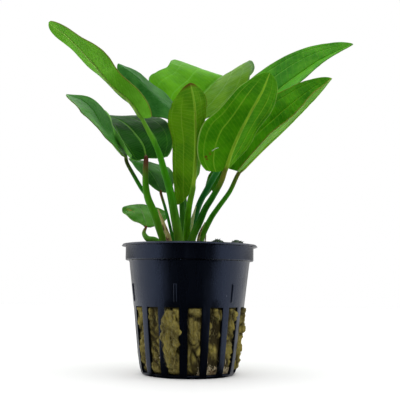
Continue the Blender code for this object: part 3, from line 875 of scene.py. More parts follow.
def makeRoots():
    rng = random.Random(roots["seed"])
    ways, thickness = [], []
    kind = roots["lying"]
    for k in range(kind["count"]):
        turn, reach = rng.uniform(0, math.tau), rng.uniform(*kind["reach"])
        height = rng.uniform(*roots["heights"])
        sweep = rng.uniform(0.3, 1.3) * rng.choice((-1, 1))
        way = []
        for s in shares(roots["steps"]):
            r = min(reach + 2.0 * math.sin(3 * s + k) * (1 - s * 0.4), kind["farthest"])
            h = max(kind["lowest"], height + 0.9 * math.sin(5 * s + 2 * k))
            way.append(around(r, turn + sweep * s, h))
        ways.append(way)
        thickness.append(rng.uniform(*kind["thick"]))
    # a few hang down behind the slots from the wool
    kind = roots["hanging"]
    for k in range(kind["count"]):
        slot = rng.randrange(pot["slots"])
        turn = math.radians(pot["slotTurn"] + slot * slotStep + rng.uniform(-6, 6))
        drop, drift = rng.uniform(*kind["lengths"]), math.radians(rng.uniform(-5, 5))
        way = []
        for s in shares(roots["steps"]):
            h = max(kind["lowest"], kind["top"] - drop * s)
            r = min(insideRadius(h) - 0.5, 19.2) + 0.2 * math.sin(7 * s + k)
            way.append(around(r, turn + drift * s, h))
        ways.append(way)
        thickness.append(rng.uniform(*kind["thick"]))
    # and a tangle of fine ones fills the foot of the slots on the right
    kind = roots["fine"]
    for k in range(kind["count"]):
        turn, reach = math.radians(rng.uniform(*kind["turns"])), rng.uniform(*kind["reach"])
        height, drift = rng.uniform(*roots["heights"]), math.radians(rng.uniform(-14, 14))
        way = []
        for s in shares(roots["steps"]):
            h = max(kind["lowest"], height + 0.8 * math.sin(6 * s + k) - 0.6 * s)
            r = min(reach + 0.5 * math.sin(9 * s + 3 * k), insideRadius(h) + 0.1)
            way.append(around(r, turn + drift * s, h))
        ways.append(way)
        thickness.append(rng.uniform(*kind["thick"]))
    piece = strandPiece("root_tangle", ways, thickness, sides=6)
    material, tree, shader = newMaterial("root skin", paint(190, 172, 128), 0.6)
    where = objectPlace(tree)
    mottle(tree, shader, noiseNode(tree, where, 300, 4), 0.36, 0.62, (104, 74, 34), (206, 194, 158))
    addBump(tree, shader, noiseNode(tree, where, 2200, 3), 0.05, 0.6)
    piece.data.materials.append(material)
    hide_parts("root_mat")
    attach(piece, "root")


makeRoots()
print("the roots are laid")


# the leaves

# rib is the way of the midrib and stalk that of the stalk up to it, face is where the upper side looks,
# wide holds the widths of the two halves, fold and tipFold how far they fold up at the base and at the
# tip, bend how much further they curl towards the margin, form the rounding of the blade, lobe and
# lobeReach how far the base reaches back past the stalk, radius the stalk's thickness at its foot, at half
# its height and at the blade, trim how much wider or narrower each half is than that outline, as pairs of
# place and share
leaves = {
    "leaf_long_left": dict(
        stalk=[(-3.2, -5, 46), (-4.3, -6.5, 53.5), (-6.3, -10, 64.3), (-8.1, -13, 73.1),
               (-10.1, -14.5, 79.6), (-13.3, -15.5, 89.2)],
        rib=[(-19.7, -16, 101.4), (-24.1, -17.5, 107.5), (-31.9, -19.5, 114), (-37.2, -21, 120.3),
             (-43, -22, 126.4), (-50, -22, 133.2), (-57, -20.5, 138.3)],
        face=[(0.62, 0.42, 0.65)], wide=(8.5, 6.7), fold=(20, 34), tipFold=(-5, -14),
        form=(0.42, 0.3, 0.03), lobe=(2, 3), radius=(2.15, 1.55, 0.8),
        trim=(((0, 1), (0.2, 0.95), (0.4, 1.07), (0.56, 1.08), (0.7, 0.87), (0.85, 0.7), (1, 0.74)),
              ((0, 1), (0.17, 1), (0.3, 0.62), (0.45, 0.84), (0.7, 0.9), (1, 1.2)))),
    "leaf_back_left": dict(
        stalk=[(-2.4, 3.2, 46), (-3, 4, 60), (-4, 4.5, 80), (-4.6, 4.8, 98)],
        rib=[(-4.7, 5, 107.4), (-11.2, 5, 111.7), (-17.7, 4, 117.5), (-24.1, 2, 123.4), (-31.5, -1, 128)],
        face=[(0.4, -0.5, 0.75)], wide=(12, 11), fold=(-30, -2), form=(0.6, 0.4, 0.05), lobe=(3, 3),
        radius=(1.4, 1.25, 0.8),
        trim=(((0, 0.6), (0.15, 0.56), (0.3, 0.85), (0.45, 1), (1, 1)),
              ((0, 1), (0.5, 1), (0.7, 0.85), (1, 0.7)))),
    "leaf_outer_left": dict(
        stalk=[(-6, -0.9, 46), (-9.2, -2.5, 54), (-13.3, -3.3, 62.5), (-17.6, -3, 71.3),
               (-20.2, -3, 74.8), (-23.7, -4.2, 80.6), (-26.1, -5.6, 84.9)],
        rib=[(-26.7, -6.3, 87.6), (-29.7, -9.1, 90.5), (-33.3, -11.6, 94.9), (-36.2, -13.5, 99.3),
             (-39.5, -14, 104.7), (-43.5, -15, 108.2), (-50, -16, 110.5)],
        face=[(0.5, -0.5, 0.7), (0.5, -0.5, 0.7), (0.3, -0.6, 0.7)], wide=(8.3, 7.3), fold=(8, 10),
        form=(0.6, 0.45, 0.04), lobe=(1, 1), radius=(1.2, 0.95, 0.75),
        trim=(((0, 0.4), (0.2, 0.38), (0.35, 0.66), (0.5, 0.94), (0.62, 1.25), (0.78, 1.65), (1, 1.2)),
              ((0, 0.65), (0.27, 0.55), (0.42, 0.86), (0.65, 0.88), (0.8, 0.68), (1, 0.25)))),
    "leaf_broad_left": dict(
        stalk=[(-7.6, -4.8, 46), (-10.4, -7.5, 53.5), (-14.2, -8.5, 63.5), (-17.2, -8.5, 70.7),
               (-18.2, -8.5, 77.7)],
        rib=[(-18.3, -6, 87), (-19.7, -2, 92.4), (-22.7, 3, 97.4), (-27.8, 10, 103.8), (-33.5, 17, 108.5),
             (-40, 23, 111.7)],
        face=[(-0.1, -0.75, 0.6), (0, -0.65, 0.7), (0.1, -0.5, 0.8)], wide=(13, 14.5), fold=(12, 12),
        tipFold=(12, -12), bend=(130, 0), form=(0.6, 0.45, 0.08), lobe=(2, 3), radius=(1.9, 1.6, 1.0),
        trim=(((0, 1.1), (0.15, 1.28), (0.35, 1.28), (0.6, 1.1), (1, 1)),
              ((0, 1), (0.4, 1.05), (0.6, 1.22), (0.8, 1.4), (1, 1.2)))),
    "leaf_small_left": dict(
        stalk=[(-5.4, 2.8, 46), (-6.6, 3.4, 52), (-9, 4.2, 62), (-10.9, 5.5, 68.5), (-12.6, 8, 73.7)],
        rib=[(-12.9, 9, 75.2), (-16.6, 11, 82.2), (-21.7, 14, 87.4), (-27.7, 17, 90.6)],
        face=[(0, -0.8, 0.6)], wide=(5.5, 8.5), fold=(10, -28), form=(0.7, 0.5, 0.03), lobe=(0, 1),
        radius=(0.8, 0.65, 0.6),
        trim=(((0, 0.3), (0.1, 0.58), (0.3, 0.76), (0.6, 0.8), (0.8, 0.72), (1, 0.4)),
              ((0, 1.2), (0.4, 1.5), (0.55, 1.65), (0.7, 1.05), (0.85, 0.5), (1, 0.4)))),
    "leaf_front_upright": dict(
        stalk=[(-1.2, -0.4, 46), (-1.3, -1.6, 54), (-0.6, -8, 65.5)],
        rib=[(1.2, -13, 73.9), (1.8, -15, 80.1), (2, -17, 92.2), (1.6, -18, 104.4), (0.8, -18, 109.7),
             (-0.5, -17, 115.5)],
        face=[(0.1, 1, 0.2)], wide=(8, 11), fold=(95, 18), tipFold=(38, 18), form=(0.4, 0.17, 0.015),
        lobe=(3, 8), lobeReach=0.22, radius=(1.5, 1.45, 1.1),
        trim=(((0, 1.4), (0.1, 2), (0.22, 1.3), (0.35, 0.88), (0.55, 0.7), (0.73, 0.94), (0.88, 1.28),
               (1, 1)),
              ((0, 0.84), (0.3, 0.93), (0.48, 1), (0.65, 1.26), (0.88, 1.44), (1, 1.15)))),
    "leaf_back_large": dict(
        stalk=[(-0.6, 7, 46), (-2.2, 11, 62), (-3.8, 16, 85), (-4.4, 20, 98.4)],
        rib=[(-3.8, 22, 109.7), (1.4, 29, 119.5), (5.6, 35, 126), (9.6, 40, 131.6), (13.6, 46, 136.6),
             (17.4, 53, 138.3), (20.5, 60, 136)],
        face=[(-0.35, -0.75, 0.55), (-0.2, -0.6, 0.75), (0.1, -0.3, 1)], wide=(28.5, 22), fold=(58, 0),
        tipFold=(0, 39), form=(0.5, 0.75, 0.03), lobe=(6, 6), radius=(1.5, 1.2, 0.9),
        trim=(((0, 1.3), (0.1, 1.6), (0.24, 1.1), (0.4, 0.84), (0.55, 0.85), (0.72, 0.97), (0.8, 0.95),
               (0.9, 0.9), (1, 0.85)),
              ((0, 1.2), (0.1, 1.55), (0.2, 1.45), (0.45, 1.22), (0.6, 1.02), (0.73, 0.78), (1, 1)))),
    "leaf_front_right": dict(
        stalk=[(0.9, -4.2, 46), (0.9, -5.6, 53.7), (4, -7, 61), (6.1, -9, 66), (8.6, -11, 69.9),
               (12.2, -12.7, 76.2)],
        rib=[(13.8, -14, 80.8), (16.1, -16, 88.1), (19.7, -18, 96.2), (24.5, -19, 105.3),
             (28.2, -19, 112.2), (31.1, -18, 119.7)],
        face=[(-0.35, 0.85, 0.35)], wide=(10.5, 13.5), fold=(32, 6), tipFold=(0, 42),
        form=(0.45, 0.3, 0.02), lobe=(-1, 2), radius=(1.75, 1.4, 1.0),
        trim=(((0, 0.3), (0.1, 0.56), (0.25, 0.75), (0.5, 0.84), (0.7, 0.95), (1, 1.15)),
              ((0, 1.1), (0.1, 1.15), (0.3, 1.1), (0.45, 0.88), (0.6, 0.81), (0.85, 0.81), (1, 0.72)))),
    "leaf_outer_right": dict(
        stalk=[(4.2, -1, 46), (4.6, -1.2, 54), (8.2, -2, 62.2), (11.4, -3, 67.1), (16.1, -3, 73.8),
               (19, -3, 80.1)],
        rib=[(20.2, -3, 82.2), (29.3, -3, 91.5), (38.8, -3, 100.5), (47.2, -3, 109.1), (53.6, -2, 116.3),
             (59, -1, 122.8)],
        face=[(-0.4, -0.85, 0.35)], wide=(15.5, 10), fold=(18, 66), form=(0.62, 0.4, 0.05), lobe=(3, 1),
        radius=(1.5, 1.1, 0.85)),
    "leaf_long_right": dict(
        stalk=[(1.6, 3.2, 46), (1.1, 5.5, 58), (3.3, 7, 68.5), (7.3, 8, 76.9)],
        rib=[(12.7, 9, 86.6), (19.1, 11, 98.4), (28.7, 12, 111.2), (38.8, 12, 121.9), (52.4, 11, 132.1),
             (62.4, 10, 137.8), (70.1, 8, 141)],
        face=[(-0.42, -0.78, 0.48), (-0.42, -0.78, 0.48), (-0.35, -0.78, 0.5)], wide=(15.5, 12.5),
        fold=(12, 26), form=(0.7, 0.45, 0.02), lobe=(3, 1), lobeReach=0.2, radius=(1.4, 1.3, 1.3),
        trim=(((0, 1), (0.5, 0.95), (0.7, 1.01), (0.9, 0.92), (1, 0.8)),
              ((0, 1), (0.5, 0.96), (0.7, 0.9), (0.85, 0.77), (1, 0.65)))),
    "leaf_low_left": dict(
        stalk=[(-9.6, 1.2, 46), (-11.6, 0.6, 51), (-14.2, -0.2, 53.4), (-17.4, -0.6, 54.3),
               (-19, 0.4, 56.6)],
        rib=[(-18.3, 2.5, 59.4), (-19.1, 6, 62.6), (-20.8, 11, 66.6), (-22.8, 16, 70.2)],
        face=[(-0.1, -0.7, 0.7)], wide=(8.7, 11.2), fold=(14, -14), form=(0.45, 0.7, 0.03), lobe=(0, 0),
        radius=(1.2, 1.55, 0.55),
        trim=(((0, 0.3), (0.12, 0.5), (0.25, 0.71), (0.5, 0.86), (0.75, 1.02), (1, 1.25)),
              ((0, 1), (0.5, 1), (0.7, 0.78), (0.85, 0.52), (1, 0.6)))),
    "leaf_small_right": dict(
        stalk=[(2.3, 7.6, 46), (1.4, 9.5, 58.3), (3.3, 11.5, 69)],
        rib=[(8.8, 13, 77), (10.6, 14.3, 82), (12.2, 15.5, 87.5)], face=[(-0.3, -0.85, 0.4)],
        wide=(3.4, 3.4), fold=(8, 8), form=(0.5, 0.4, 0.1), lobe=(1.5, 1.5), radius=(0.8, 0.7, 0.5)),
}
leafBuild = dict(rows=96, thick=0.42, veins=(0.45, 0.78), midribDeep=0.42, midribWide=0.035, veinDeep=0.2,
                 veinWide=0.02, waves=2.5, waveHigh=0.35, lumps=(0.55, 0.16), stalkSteps=36, ribSteps=61,
                 keel=(2, 50), stalkRings=110, stalkSides=14, lower=((80, 140, 50), (100, 160, 60)))

# the finish of each leaf: upper, lower, vein, margin and tip are colours, veins the places of the arched
# veins from midrib to margin and show their strength, ribs the depth of the cross veins and rungs their
# strength, glow how much light goes into the blade, gloss its shine, spots the strength of brown specks,
# rightHalfSheen a bluish grey tint of that half that paints sheen on it, marks the place of each stain
# across and along, its reach both ways, its strength and its colour
leafLooks = {
    "leaf_long_left": dict(
        upper=((70, 135, 15), (96, 160, 30)), lower=((86, 162, 18), (114, 192, 44)), vein=(158, 206, 90),
        margin=(110, 110, 40), glow=0.12, ribs=0.1, show=0.12),
    "leaf_back_left": dict(
        upper=((30, 94, 24), (62, 126, 48)), lower=((70, 120, 40), (90, 140, 50)), vein=(56, 122, 50),
        margin=(56, 110, 36), glow=0.2, ribs=0.3, show=0.3, gloss=0.03),
    "leaf_outer_left": dict(
        upper=((56, 128, 40), (94, 168, 68)), vein=(112, 172, 84), margin=(100, 120, 50), glow=0.3,
        ribs=0.4, show=0.35, gloss=0.16),
    "leaf_broad_left": dict(
        upper=((8, 60, 2), (24, 84, 8)), lower=((88, 158, 54), (112, 180, 76)), vein=(88, 150, 34),
        margin=(96, 150, 70), glow=0.2, ribs=0.5, show=0.6, gloss=0.015),
    "leaf_small_left": dict(
        upper=((34, 96, 18), (74, 136, 52)), vein=(92, 156, 56), margin=(70, 116, 50), glow=0.3, ribs=0.4,
        show=0.5, gloss=0.1),
    "leaf_front_upright": dict(
        upper=((60, 120, 4), (80, 140, 12)), lower=((70, 130, 2), (98, 156, 8)), vein=(128, 172, 40),
        margin=(92, 100, 16), glow=0.4, ribs=1.0, show=0.7, rungs=0.3, tip=(96, 30, 16),
        veins=(0.5, 0.86), gloss=0.1),
    "leaf_back_large": dict(
        upper=((72, 140, 2), (92, 162, 8)), vein=(110, 176, 56), margin=(84, 144, 40), glow=0.5,
        ribs=0.25, show=0.5, gloss=0.02, rightHalfSheen=(1.0, 0.72, 1.6, 1)),
    "leaf_front_right": dict(
        upper=((50, 120, 6), (70, 140, 14)), lower=((50, 124, 2), (80, 156, 8)), vein=(138, 184, 44),
        margin=(146, 176, 90), glow=0.4, ribs=0.25, show=0.75, veins=(0.48, 0.8), spots=0.6,
        marks=((0.86, 0.088, 0.035, 0.02, 0.85, (96, 60, 16)),
               (0.80, 0.125, 0.03, 0.012, 0.7, (120, 84, 24)))),
    "leaf_outer_right": dict(
        upper=((48, 122, 2), (86, 162, 10)), lower=((84, 148, 30), (108, 170, 52)), vein=(128, 172, 30),
        margin=(112, 112, 30), glow=0.4, ribs=0.45, show=0.7, veins=(0.42, 0.78), gloss=0.05),
    "leaf_long_right": dict(
        upper=((50, 132, 6), (86, 164, 24)), vein=(120, 182, 56), margin=(96, 140, 50), glow=0.4,
        ribs=0.5, show=0.7, veins=(0.5, 0.82), gloss=0.1),
    "leaf_low_left": dict(
        upper=((58, 128, 14), (92, 156, 48)), vein=(128, 176, 90), margin=(112, 150, 76), glow=0.4,
        ribs=0.4, show=0.4, gloss=0.08,
        marks=((0.15, 0.78, 0.06, 0.05, 0.6, (150, 150, 50)),
               (0.22, 0.72, 0.06, 0.035, 0.8, (176, 130, 50)),
               (0.29, 0.65, 0.05, 0.035, 0.6, (150, 140, 60)))),
    "leaf_small_right": dict(
        upper=((36, 104, 4), (60, 126, 14)), vein=(90, 146, 30), margin=(80, 126, 30), glow=0.35,
        ribs=0.4, show=0.4, gloss=0.05),
}


def bladeWidth(t, form):
    # share of the full width at t along the blade: blunt rounds the tip, swell and base the lower end
    blunt, swell, base = form
    peak = max(0, (swell - blunt * base) / (blunt + swell))
    top = (1 - peak) ** blunt * (peak + base) ** swell
    return np.maximum(1 - t, 0) ** blunt * (t + base) ** swell / top


def trimCurve(pairs, t):
    # how much wider or narrower than the plain outline the margin runs, from base to tip
    if not pairs:
        return np.ones_like(t)
    curve = smoothWay([(place, share, 0) for place, share in pairs], 120)
    return np.interp(t, curve[:, 0], curve[:, 1])


def columnSpots(veins):
    # how far across the columns lie: closer at the midrib, the veins and the margin
    spots = {0.012, 0.028, 0.05, 0.08, 0.975, 0.99} | set(np.round(np.linspace(0, 1, 19), 4))
    for vein in veins:
        spots |= {round(float(vein + step), 4) for step in (-0.035, -0.016, 0.0, 0.016, 0.035)}
    half = sorted(spots)
    return np.array([-s for s in half[::-1]] + half[1:])


def bladePoints(leaf, t, spots):
    # places on the blade along t and across spots, the way they face, and the midrib's upper side
    fine = smoothWay(leaf["rib"], 240)
    rib = between(fine, t)
    along = unit(between(unit(np.gradient(fine, axis=0)), t))
    face = between(unit(np.asarray(leaf["face"], float)), t)
    side = unit(np.cross(along, face))
    upper = np.cross(side, along)
    width = bladeWidth(t, leaf["form"])
    tipFold = leaf.get("tipFold", leaf["fold"])
    bend = leaf.get("bend", (0, 0))
    reach = leaf.get("lobeReach", 0.3)
    trims = [trimCurve(pairs, t) for pairs in leaf.get("trim", (None, None))]
    points = np.zeros((len(t), len(spots), 3))
    outward = np.zeros_like(points)
    for j, across in enumerate(spots):
        half = 0 if across < 0 else 1
        out = abs(across)
        steps = (np.arange(12) + 0.5) / 12 * out
        turn = leaf["fold"][half] + (tipFold[half] - leaf["fold"][half]) * t[:, None]
        turn = np.radians(turn + bend[half] * steps[None, :] ** 3)
        wide = leaf["wide"][half] * width * trims[half] * out
        sideways = np.sign(across) * wide * np.cos(turn).mean(axis=1)
        raised = wide * np.sin(turn).mean(axis=1)
        back = leaf["lobe"][half] * np.maximum(0, 1 - t / reach) ** 2 * math.sin(out * math.pi / 2)
        points[:, j] = rib + side * sideways[:, None] + upper * raised[:, None]
        points[:, j] -= along[0] * back[:, None]
        last = turn[:, -1] if out > 0 else turn[:, 0] * 0
        outward[:, j] = upper * np.cos(last)[:, None] - side * (np.sign(across) * np.sin(last))[:, None]
    return points, outward, upper


def makeLeaf(name, leaf, seed):
    rows = leafBuild["rows"]
    t = (1 - np.cos(np.linspace(0, math.pi, rows + 1))) / 2
    look = leafLooks[name]
    veins = look.get("veins", leafBuild["veins"])
    spots = columnSpots(veins)
    points, outward, upper = bladePoints(leaf, t, spots)
    size = sum(leaf["wide"]) / 2
    out = np.abs(spots)

    # veins sink into the upper side and stand out below
    ease = np.minimum(1, (1 - t) * 5)[:, None]
    groove = np.exp(-((out / leafBuild["midribWide"]) ** 2))[None, :]
    deep = leafBuild["midribDeep"] * min(1, size / 11) * groove * ease
    for vein in veins:
        groove = np.exp(-(((out - vein) / leafBuild["veinWide"]) ** 2))[None, :]
        deep = deep + leafBuild["veinDeep"] * look["show"] * groove * ease
    points -= outward * deep[:, :, None]

    # slow waves and a slightly uneven margin
    for i in range(rows + 1):
        for j, across in enumerate(spots):
            spot = Vector(points[i, j]) * 0.085 + Vector((seed * 3.1, 0, 0))
            lift = leafBuild["lumps"][0] * noise.noise(spot) * (0.3 + abs(across)) * min(1, size / 9)
            lift += leafBuild["lumps"][1] * noise.noise(spot * 4.3) * min(1, size / 9)
            wave = math.sin(math.tau * (leafBuild["waves"] * t[i] + 0.3 * (across > 0)))
            lift += leafBuild["waveHigh"] * across**2 * wave * min(1, 4 * t[i] * (1 - t[i]))
            points[i, j] += outward[i, j] * lift * min(1, 6 * (1 - t[i]))
    uvs = np.stack(np.broadcast_arrays(0.5 + spots[None, :] / 2, t[:, None]), axis=-1)
    blade = cleanUp(gridPiece(name + "_blade", points, uvs), 0.004, turnOut=False)
    blade.data.materials.append(leafMaterial(name + " upper side", look, True))
    blade.data.materials.append(leafMaterial(name + " underside", look, False))
    thicken(blade, leafBuild["thick"] * (1 if size > 6 else 0.8), lowerSlot=1, rimSlot=1)

    # the stalk runs on under the blade as its midrib
    foot, middle, top = leaf["radius"]
    stalk = smoothWay(leaf["stalk"] + leaf["rib"][:1], leafBuild["stalkSteps"])
    start, end = leafBuild["keel"]
    keel = smoothWay(leaf["rib"], leafBuild["ribSteps"])[start:end:2]
    keelUp = between(upper, np.linspace(start, end - 1, len(keel)) / (leafBuild["ribSteps"] - 1))
    keelRadius = top * (1 - np.linspace(0, 1, len(keel))) ** 0.8 * 0.72 + 0.1
    keel = keel - keelUp * (keelRadius * 0.55 + 0.12)[:, None]
    way = np.vstack([stalk, keel])
    stalkRadius = np.interp(np.linspace(0, 1, len(stalk)), (0, 0.5, 1), (foot, middle, top))
    length = distances(way)
    rings = np.linspace(0, length[-1], leafBuild["stalkRings"])
    radii = np.interp(rings, length, np.concatenate([stalkRadius, keelRadius]))
    way = smoothWay(way, leafBuild["stalkRings"])
    stem = tubePiece(name + "_stem", way, radii, leafBuild["stalkSides"], squash=0.9)
    junction = float(length[len(stalk) - 1] / length[-1])
    stem.data.materials.append(stalkMaterial(name + " stalk", name, junction, look["vein"]))
    piece = joinPieces([blade, stem], name + "_leaf")
    smoothOff(piece, 70)
    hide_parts(name)
    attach(piece, "root")


def leafMaterial(name, look, isUpper):
    dark, light = look["upper"] if isUpper else look.get("lower", leafBuild["lower"])
    lighter = [min(255, level + 20) for level in light]
    material, tree, shader = newMaterial(name, paint(*dark), 0.4)
    where = objectPlace(tree)
    place, along = ownMap(tree)
    across = times(tree, mathNode(tree, "ABSOLUTE", minus(tree, place, 0.5)), 2.0)

    # main veins, arching from base to tip
    veins = fade(tree, across, 0.0, 0.05, 1.0, 0.0)
    for spot, share in zip(look.get("veins", leafBuild["veins"]), (0.9, 0.5)):
        strength = times(tree, fade(tree, along, 1.0, 0.7), share * look["show"])
        gap = mathNode(tree, "ABSOLUTE", minus(tree, across, spot))
        veins = mathNode(tree, "MAXIMUM", veins, fade(tree, gap, 0.0, 0.028, strength, 0.0))
    # cross veins between them
    bent = times(tree, noiseNode(tree, where, 260, 2), 0.9)
    slant = times(tree, times(tree, across, 7.0), minus(tree, 1.0, along))
    ladder = plus(tree, minus(tree, times(tree, along, 26.0), slant), bent)
    ladder = mathNode(tree, "PINGPONG", ladder, 0.5)
    rungs = fade(tree, ladder, 0.0, 0.2, 1.0, 0.0)

    blotch = noiseNode(tree, where, 95, 4)
    fine = noiseNode(tree, where, 900, 2)
    swell = noiseNode(tree, where, 330, 2)
    colour = mixColour(tree, fade(tree, blotch, 0.34, 0.66), paint(*dark), paint(*light))
    colour = mixColour(tree, fade(tree, fine, 0.35, 0.7, 0.0, 0.16), colour, paint(*lighter))
    colour = mixColour(tree, times(tree, rungs, look.get("rungs", 0.14)), colour, paint(*look["vein"]))
    colour = mixColour(tree, veins, colour, paint(*look["vein"]))
    edge = fade(tree, across, 0.955, 0.99)
    colour = mixColour(tree, times(tree, edge, 0.8), colour, paint(*look["margin"]))
    if look.get("tip"):
        end = fade(tree, along, 0.95, 0.995, 0.0, 0.85)
        colour = mixColour(tree, end, colour, paint(*look["tip"]))
    for u, v, reachU, reachV, share, shade in look.get("marks", ()):
        gapU = mathNode(tree, "DIVIDE", minus(tree, place, u), reachU)
        gapV = mathNode(tree, "DIVIDE", minus(tree, along, v), reachV)
        gap = plus(tree, times(tree, gapU, gapU), times(tree, gapV, gapV))
        gap = plus(tree, gap, fade(tree, noiseNode(tree, where, 1300, 3), 0.4, 0.6, 0.0, 0.9))
        colour = mixColour(tree, fade(tree, gap, 1.3, 0.5, 0.0, share), colour, paint(*shade))
    # painted sheen: the right half is tinted bluish grey
    if look.get("rightHalfSheen"):
        right = fade(tree, place, 0.47, 0.53)
        colour = mixColour(tree, right, colour, look["rightHalfSheen"], "MULTIPLY")
    if look.get("spots"):
        specks = fade(tree, noiseNode(tree, where, 420, 3, rough=0.7), 0.70, 0.76, 0.0, look["spots"])
        colour = mixColour(tree, specks, colour, paint(112, 84, 24))
    tree.links.new(colour, shader.inputs["Base Color"])
    rough = fade(tree, fine, 0.3, 0.75, 0.34 if isUpper else 0.42, 0.48 if isUpper else 0.56)
    tree.links.new(rough, shader.inputs["Roughness"])
    shader.inputs["Specular IOR Level"].default_value = look.get("gloss", 0.1) if isUpper else 0.05
    letGlow(shader, look["glow"], (0.5, 1.0, 0.12), 0.9)
    # ribs and veins stand out on the underside and sink in on the upper side
    sign = -1 if isUpper else 1
    height = plus(tree, times(tree, rungs, sign * look["ribs"]), times(tree, swell, 0.35))
    height = plus(tree, height, times(tree, veins, sign * 0.4))
    height = times(tree, height, fade(tree, along, 0.98, 0.6))
    addBump(tree, shader, height, 0.14, 0.7)
    return material


stalkLooks = {
    # colours at the foot, halfway and just under the blade
    "leaf_long_left": ((96, 146, 40), (60, 142, 10), (110, 172, 48)),
    "leaf_broad_left": ((92, 138, 34), (70, 142, 12), (92, 44, 30)),
    "leaf_outer_left": ((70, 130, 30), (50, 130, 26), (70, 80, 30)),
    "leaf_small_left": ((60, 120, 30), (40, 118, 20), (104, 56, 30)),
    "leaf_front_upright": ((110, 170, 34), (96, 176, 20), (100, 164, 30)),
    "leaf_front_right": ((84, 136, 30), (34, 108, 10), (112, 120, 36)),
    "leaf_outer_right": ((96, 146, 40), (64, 146, 18), (104, 112, 40)),
    "leaf_long_right": ((70, 124, 50), (30, 106, 40), (54, 140, 56)),
    "leaf_low_left": ((84, 160, 26), (96, 160, 50), (104, 40, 26)),
    "others": ((70, 120, 40), (50, 116, 20), (70, 130, 30)),
}


def stalkMaterial(name, key, junction, vein):
    foot, middle, top = stalkLooks.get(key, stalkLooks["others"])
    material, tree, shader = newMaterial(name, paint(*middle), 0.4)
    where, along = objectPlace(tree), ownMap(tree)[1]
    lines = noiseNode(tree, where, 620, 3, stretch=(1, 1, 0.12))
    colour = mixColour(tree, fade(tree, along, 0.02, junction * 0.5), paint(*foot), paint(*middle))
    colour = mixColour(tree, fade(tree, along, junction * 0.72, junction * 0.97), colour, paint(*top))
    colour = mixColour(tree, fade(tree, along, junction * 1.0, junction * 1.08), colour, paint(*vein))
    darker = mixColour(tree, 0.45, colour, paint(16, 60, 10))
    colour = mixColour(tree, fade(tree, lines, 0.36, 0.62, 0.55, 0.0), colour, darker)
    tree.links.new(colour, shader.inputs["Base Color"])
    shader.inputs["Specular IOR Level"].default_value = 0.08
    letGlow(shader, 0.3, (0.5, 1.0, 0.12), 0.8)
    fine = noiseNode(tree, where, 1500, 3, stretch=(1, 1, 0.3))
    tree.links.new(fade(tree, fine, 0.3, 0.7, 0.3, 0.5), shader.inputs["Roughness"])
    addBump(tree, shader, plus(tree, times(tree, lines, 0.7), times(tree, fine, 0.3)), 0.16, 0.7)
    return material


# places across and along the blade, how far the lip stands off it, and its thickness
tear = dict(places=((0.556, 0.146), (0.47, 0.168), (0.388, 0.183)), lift=0.75, thick=0.17)


def makeTear():
    # the pale lip of the tear in the underside of the front right leaf
    leaf = leaves["leaf_front_right"]
    way = []
    for across, t in tear["places"]:
        points, outward = bladePoints(leaf, np.array([0.0, t]), np.array([across]))[:2]
        way.append(tuple(points[1, 0] - outward[1, 0] * tear["lift"]))
    piece = strandPiece("leaf_tear", [smoothWay(way, 9)], [tear["thick"]], sides=6)
    material, tree, shader = newMaterial("torn leaf skin", paint(214, 224, 190), 0.5)
    patch = noiseNode(tree, objectPlace(tree), 1400, 3)
    mottle(tree, shader, patch, 0.4, 0.6, (170, 190, 130), (240, 244, 226))
    addBump(tree, shader, patch, 0.05)
    piece.data.materials.append(material)
    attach(piece, "root")


for number, (leafName, leaf) in enumerate(leaves.items()):
    makeLeaf(leafName, leaf, number + 1)
makeTear()
print("the leaves are grown")


# the crown, the dry sheaths, the stub and the moss

crown = dict(
    radius=8.6, turns=96, uneven=0.09, lumps=0.25,
    # share of the radius and height, from the middle of the underside to the middle of the top
    profile=[(0.0, 45.3), (0.8, 45.3), (0.97, 45.8), (1.0, 46.3), (0.96, 46.9), (0.86, 47.3), (0.7, 47.5),
             (0.5, 47.6), (0.3, 47.65), (0.12, 47.65), (0.0, 47.65)],
)


def makeCrown():
    turns = np.linspace(0, math.tau, crown["turns"] + 1)
    points = np.zeros((len(crown["profile"]), len(turns), 3))
    for i, (share, height) in enumerate(crown["profile"]):
        for j, turn in enumerate(turns[:-1]):
            spot = Vector(around(1.6, turn, height * 0.3))
            uneven = 1 + crown["uneven"] * noise.fractal(spot, 0.9, 2.1, 4) * (share > 0.2)
            radius = crown["radius"] * share * min(uneven, 1.0)
            lump = crown["lumps"] * noise.noise(Vector(around(radius, turn, 1.0)) * 0.8)
            points[i, j] = around(radius, turn, height - abs(lump))
        points[i, -1] = points[i, 0]
    piece = cleanUp(gridPiece("crown_stock", points), 0.002)
    smoothOff(piece, 70)
    material, tree, shader = newMaterial("crown stock", paint(88, 84, 40), 0.75)
    where = objectPlace(tree)
    patch = noiseNode(tree, where, 240, 5, rough=0.65)
    mottle(tree, shader, patch, 0.36, 0.62, (52, 40, 18), (122, 122, 62))
    addBump(tree, shader, noiseNode(tree, where, 1100, 4), 0.35, 0.8)
    piece.data.materials.append(material)
    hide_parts("crown")
    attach(piece, "root")


sheaths = {
    "sheath_left": dict(
        way=[(-7.1, -9.0, 46.6), (-8.2, -10.4, 53.5), (-10.0, -11.6, 58.5), (-12.7, -12.6, 65.5)],
        wide=2.7, face=(0.25, -1, 0.2), dark=(66, 28, 8), pale=(176, 170, 110)),
    "sheath_middle": dict(
        way=[(-0.6, 1.6, 46.6), (-0.4, 1.4, 55), (0.6, 0.6, 61), (2.3, 0.2, 68)], wide=2.7,
        face=(0.2, -1, 0.1), dark=(112, 132, 80), pale=(176, 190, 148)),
    "sheath_right": dict(
        way=[(3.6, -3.8, 46.6), (3.5, -4.0, 53.4), (4.4, -4.1, 57.5), (6.2, -4.4, 61)], wide=1.7,
        face=(-0.3, -1, 0.2), dark=(122, 82, 56), pale=(158, 160, 110)),
}
sheathBuild = dict(rows=48, columns=13, thick=0.1, ragged=0.16, curl=0.35, crumple=0.12)


